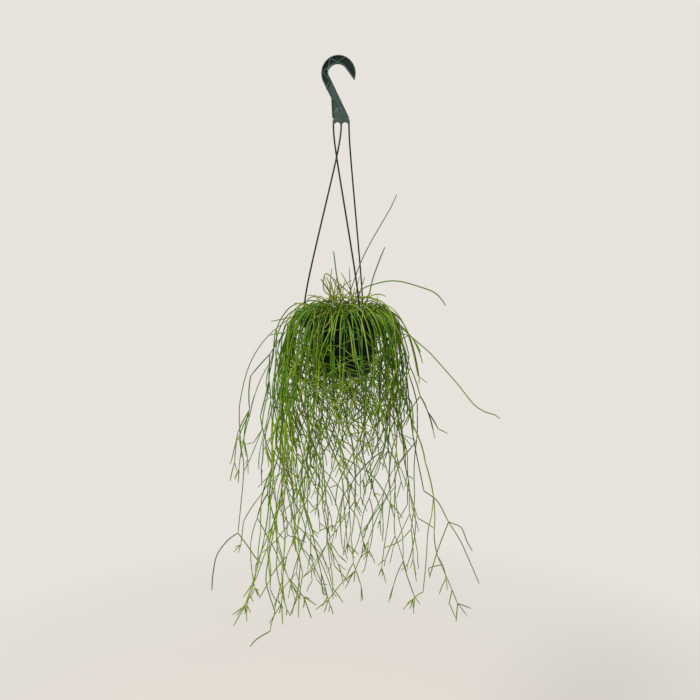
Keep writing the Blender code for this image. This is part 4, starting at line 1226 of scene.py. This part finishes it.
tip_count = 0
for index, cutting in enumerate(cuttings + more):
    rng = np.random.default_rng(TIP_SEED + index)
    shoots = []
    for end, way in free_ends(cutting, len(PLACED.get(index, ()))):
        for _ in range(rng.choice(TIPS_HIGH_UP if end[2] > HIGH_UP else TIPS_AT_END)):
            line = short_shoot(end, splayed(rng, way, *TIP_SPLAY), rng.uniform(*TIP_LENGTH),
                               (rng.normal(0, TIP_BEND), rng.normal(0, TIP_BEND), rng.uniform(*TIP_DROOP)))
            if fits(line):
                shoots.append(line)
    for line in shoots:
        cutting.add(line, YOUNG, TIP_RUST * rng.random())
    tip_count += len(shoots)
print("young tips", tip_count)

# %% Thin shoots that stand up, and some that arch over the top
SHOOT_LIFT = (0.0, 0.0, 0.002)
UPRIGHT = SimpleNamespace(count=22, roots=MORE_ROOTS // 2, length=(0.055, 0.105), lean=0.28, bend=3.0,
                          droop=(-2.0, 2.0), rust=(0.3, 1.0))
CREST = SimpleNamespace(count=60, roots=MORE_ROOTS, length=(0.050, 0.105), lean=0.8, bend=8.0,
                        droop=(-26.0, -12.0), rust=(0.2, 1.0))

rng = np.random.default_rng(TIP_SEED)
shoot_count = 0
for kind in (UPRIGHT, CREST):
    for k in rng.choice(kind.roots, kind.count, replace=False):
        way = unit(np.array((rng.normal(0, kind.lean), rng.normal(0, kind.lean), 1.0)))
        line = short_shoot(more_root(k) + SHOOT_LIFT, way, rng.uniform(*kind.length),
                           (rng.normal(0, kind.bend), rng.normal(0, kind.bend), rng.uniform(*kind.droop)))
        if fits(line):
            more[k % MORE_PIECES].add(line, YOUNG, rng.uniform(*kind.rust))
            shoot_count += 1
print("thin shoots on top", shoot_count)

# %% [markdown]
# ## Stems as bodies
#
# A length of rhipsalis stem is a thin round rod, a little narrower where it joins, with a blunt tapered end.
# A curve with a round bevel and a radius at each point gives just that. All lengths of one cutting go into
# one curve, which becomes a mesh. Each point of that mesh then takes four values from the nearest point of
# its centre line, for the colours: one by chance for each length, its age, its place along the length and its
# rust.

# %% Radii along a length
STEM_THICKNESS = (0.00100, 0.00106, 0.00109, 0.00107, 0.00102, 0.00090)
THICKNESS_CHANGE = 0.09
JOINT_SHARE, JOINT_RUN, JOINT_SINK = 0.76, 0.0045, 0.0009
END_SHARE, END_RUN = 0.76, 0.014
SWELL = 0.06
POINT_DROP = ((0.0, 0.02), (0.00012, 0.45), (0.0005, 0.82), (0.0011, 1.0))
END_ROOM = 1.5 * POINT_DROP[-1][0]
JOINT_STATIONS = (0.0, 0.0002, 0.0018, JOINT_RUN)
LONG_ENOUGH = 0.03
FINE_WITHIN = 0.00025
LEAST_RUN, POLE_RADIUS = 0.0001, 0.00001
AXIS_STEP = 0.0015


def eased(value):
    value = np.clip(value, 0.0, 1.0)
    return value * value * (3.0 - 2.0 * value)


def run_along(points):
    """How far along the line each of its points lies."""
    return np.append(0.0, np.cumsum(np.linalg.norm(np.diff(points, axis=0), axis=1)))


def points_at(wanted, along, points):
    return np.column_stack([np.interp(wanted, along, points[:, k]) for k in range(3)])


def shaped(points, thickness):
    """Points and radii of one length: narrow at its joint, a little swollen, and blunt at its tip."""
    points = thin(points, FINE_WITHIN)
    along = run_along(points)
    total = along[-1]
    wanted = [a for a in along if END_ROOM < a < total - END_ROOM]
    wanted += [*JOINT_STATIONS] + [total - drop for drop, _ in POINT_DROP]
    if total > LONG_ENOUGH:
        wanted += [total - END_RUN * 0.5, total - END_RUN]
    stations = [0.0]
    for place in sorted(w for w in wanted if w <= total):
        if place - stations[-1] > LEAST_RUN:
            stations.append(place)
    wanted = np.array(stations)
    radii = thickness * (JOINT_SHARE + (1.0 - JOINT_SHARE) * eased(wanted / JOINT_RUN))
    radii *= END_SHARE + (1.0 - END_SHARE) * eased((total - wanted) / END_RUN)
    radii *= 1.0 + SWELL * np.sin(math.pi * wanted / total)
    drops, shares = zip(*POINT_DROP)
    radii *= np.interp(total - wanted, drops, shares)
    radii[0] = radii[-1] = POLE_RADIUS
    return points_at(wanted, along, points), radii


def axis_marks(points, values, rust):
    """Evenly spaced points along a length, each with its values, its share of the length and its rust."""
    along = run_along(points)
    wanted = np.linspace(0.0, along[-1], max(2, int(along[-1] / AXIS_STEP)))
    return [(p, (*values, w / along[-1], rust)) for p, w in zip(points_at(wanted, along, points), wanted)]


# %% Make the stems of one cutting
CROWN_SHAPE = ((-0.0140, POLE_RADIUS), (-0.0138, 0.0026), (-0.0060, 0.0034), (0.0000, 0.0037),
               (0.0030, 0.0032), (0.0052, 0.0022), (0.0060, 0.0012), (0.0062, POLE_RADIUS))
STEM_RESOLUTION = 1
MERGE_WITHIN = 0.00003
ROOT_SINK = 0.0035


def stems_mesh(cutting, rng, crown=None):
    """All lengths of one cutting in one mesh, with its crown in the soil if it has one."""
    piece = empty_curve(STEM_RESOLUTION, False)
    shape = piece.data
    marks = []
    if crown is not None:
        stub = np.array([crown + (0.0, 0.0, height) for height, _ in CROWN_SHAPE])
        add_spline(shape, stub, [radius for _, radius in CROWN_SHAPE])
        marks += axis_marks(stub, (rng.random(), 0.0), 1.0)
    for points, order, rust in cutting.lengths:
        x, y, z = points[0]
        if crown is None and abs(z - SOIL_TOP) < ROOT_SINK and math.hypot(x, y) < CROWN_SPREAD:
            points = np.vstack((points[0] - (0.0, 0.0, ROOT_SINK), points))
        elif order > 0:
            points = np.vstack((points[0] - unit(points[1] - points[0]) * JOINT_SINK, points))
        thickness = STEM_THICKNESS[min(order, YOUNG)] * (1.0 + THICKNESS_CHANGE * rng.uniform(-1, 1))
        placed, radii = shaped(points, thickness)
        add_spline(shape, placed, radii)
        marks += axis_marks(placed, (rng.random(), (1 + min(order, YOUNG)) / (1 + YOUNG)), rust)
    curve_to_mesh(piece, MERGE_WITHIN)
    tree = kdtree.KDTree(len(marks))
    for k, (spot, _) in enumerate(marks):
        tree.insert(spot, k)
    tree.balance()
    growth = piece.data.color_attributes.new("growth", "FLOAT_COLOR", "POINT")
    for k, vertex in enumerate(piece.data.vertices):
        growth.data[k].color = marks[tree.find(vertex.co)[1]][1]
    return piece


# %% [markdown]
# ## Skin of the stems
#
# Young rhipsalis is yellow-green, older stems are deeper green, and the oldest parts near the crowns and the
# joints turn brown and corky. Lengths differ from each other, so the chance value picks one of several
# greens. A noise mottles each stem, and another breaks up its waxy gloss.

# %% Colours laid over each other, sums and products
def laid_over(made, amount, under, colour):
    """This plain colour laid over what is under it, by an amount from 0 to 1."""
    step = new_node(made, "Mix")
    step.data_type = "RGBA"
    lower, upper = (socket for socket in step.inputs if socket.type == "RGBA")
    upper.default_value = (*colour, 1.0)
    link(made, amount, step.inputs["Factor"])
    link(made, under, lower)
    return [socket for socket in step.outputs if socket.type == "RGBA"][0]


def maths(made, operation, first, second):
    """The sum or the product of two values."""
    step = new_node(made, "Math")
    step.operation = operation
    link(made, first, step.inputs[0])
    link(made, second, step.inputs[1])
    return step.outputs["Value"]


# %% Mix the skin
GREENS = ((0.00, (0.030, 0.105, 0.003)), (0.25, (0.055, 0.155, 0.004)), (0.50, (0.088, 0.205, 0.005)),
          (0.75, (0.135, 0.250, 0.008)), (1.00, (0.210, 0.290, 0.014)))
YOUNG_GREEN = (0.235, 0.330, 0.022)
CORK = (0.190, 0.125, 0.045)
TIP_RUSSET = (0.300, 0.190, 0.060)
RUST = (0.260, 0.170, 0.060)
MOTTLE_SCALE, MOTTLE_DETAIL, WAX_SCALE, SKIN_GRAIN_SCALE = 160.0, 4.0, 700.0, 1500.0


def stem_skin():
    """Greens by chance, then the young green, the cork, the rust and the russet tips laid over them."""
    made, shader = new_material("stem_skin", (0.09, 0.20, 0.01), 0.42, 0.20)
    growth = new_node(made, "Attribute")
    growth.attribute_name = "growth"
    parts = new_node(made, "SeparateColor")
    link(made, growth.outputs["Color"], parts.inputs["Color"])
    chance, age, along = parts.outputs
    mottle = noise_pattern(made, MOTTLE_SCALE, MOTTLE_DETAIL)

    def product(first, second):
        return maths(made, "MULTIPLY", first, second)

    def ranged(source, *spans):
        return value_range(made, source, *spans)

    colour = colour_ramp(made, maths(made, "ADD", chance, ranged(mottle, *NOISE_SPAN, -0.12, 0.12)), *GREENS)
    old = product(ranged(age, 0.10, 0.30, 1.0, 0.0), ranged(along, 0.0, 0.35, 1.0, 0.0))
    layers = (
        # how much of it, and its colour
        (ranged(age, 0.70, 1.0, 0.0, 0.45), YOUNG_GREEN),
        (ranged(along, 0.0, 0.06, 0.55, 0.0), CORK),
        (product(old, ranged(mottle, 0.35, 0.65, 0.2, 0.9)), CORK),
        (product(growth.outputs["Alpha"], ranged(mottle, *NOISE_SPAN, 0.3, 0.9)), RUST),
        (product(ranged(along, 0.90, 1.0, 0.0, 0.6), ranged(chance, 0.55, 0.75, 0.0, 1.0)), TIP_RUSSET),
    )
    for amount, layer in layers:
        colour = laid_over(made, amount, colour, layer)
    link(made, colour, shader.inputs["Base Color"])
    wax = ranged(noise_pattern(made, WAX_SCALE), *NOISE_SPAN, 0.50, 0.34)
    link(made, wax, shader.inputs["Roughness"])
    grain(made, shader, noise_pattern(made, SKIN_GRAIN_SCALE), 0.35, 0.0003)
    return made


skin = stem_skin()
print("skin", skin.name, "from", len(GREENS), "greens")

# %% Dress every cutting, then the stems between them
for index, cutting in enumerate(cuttings):
    piece = stems_mesh(cutting, np.random.default_rng(index), crown_place(index))
    dress(piece, f"stems_{index + 1:02d}", skin, "stems", f"rhipsalis_{index + 1:02d}")
for index, cutting in enumerate(more):
    piece = stems_mesh(cutting, np.random.default_rng(CROWNS + index))
    dress(piece, f"more_stems_{index + 1:02d}", skin, "stems")
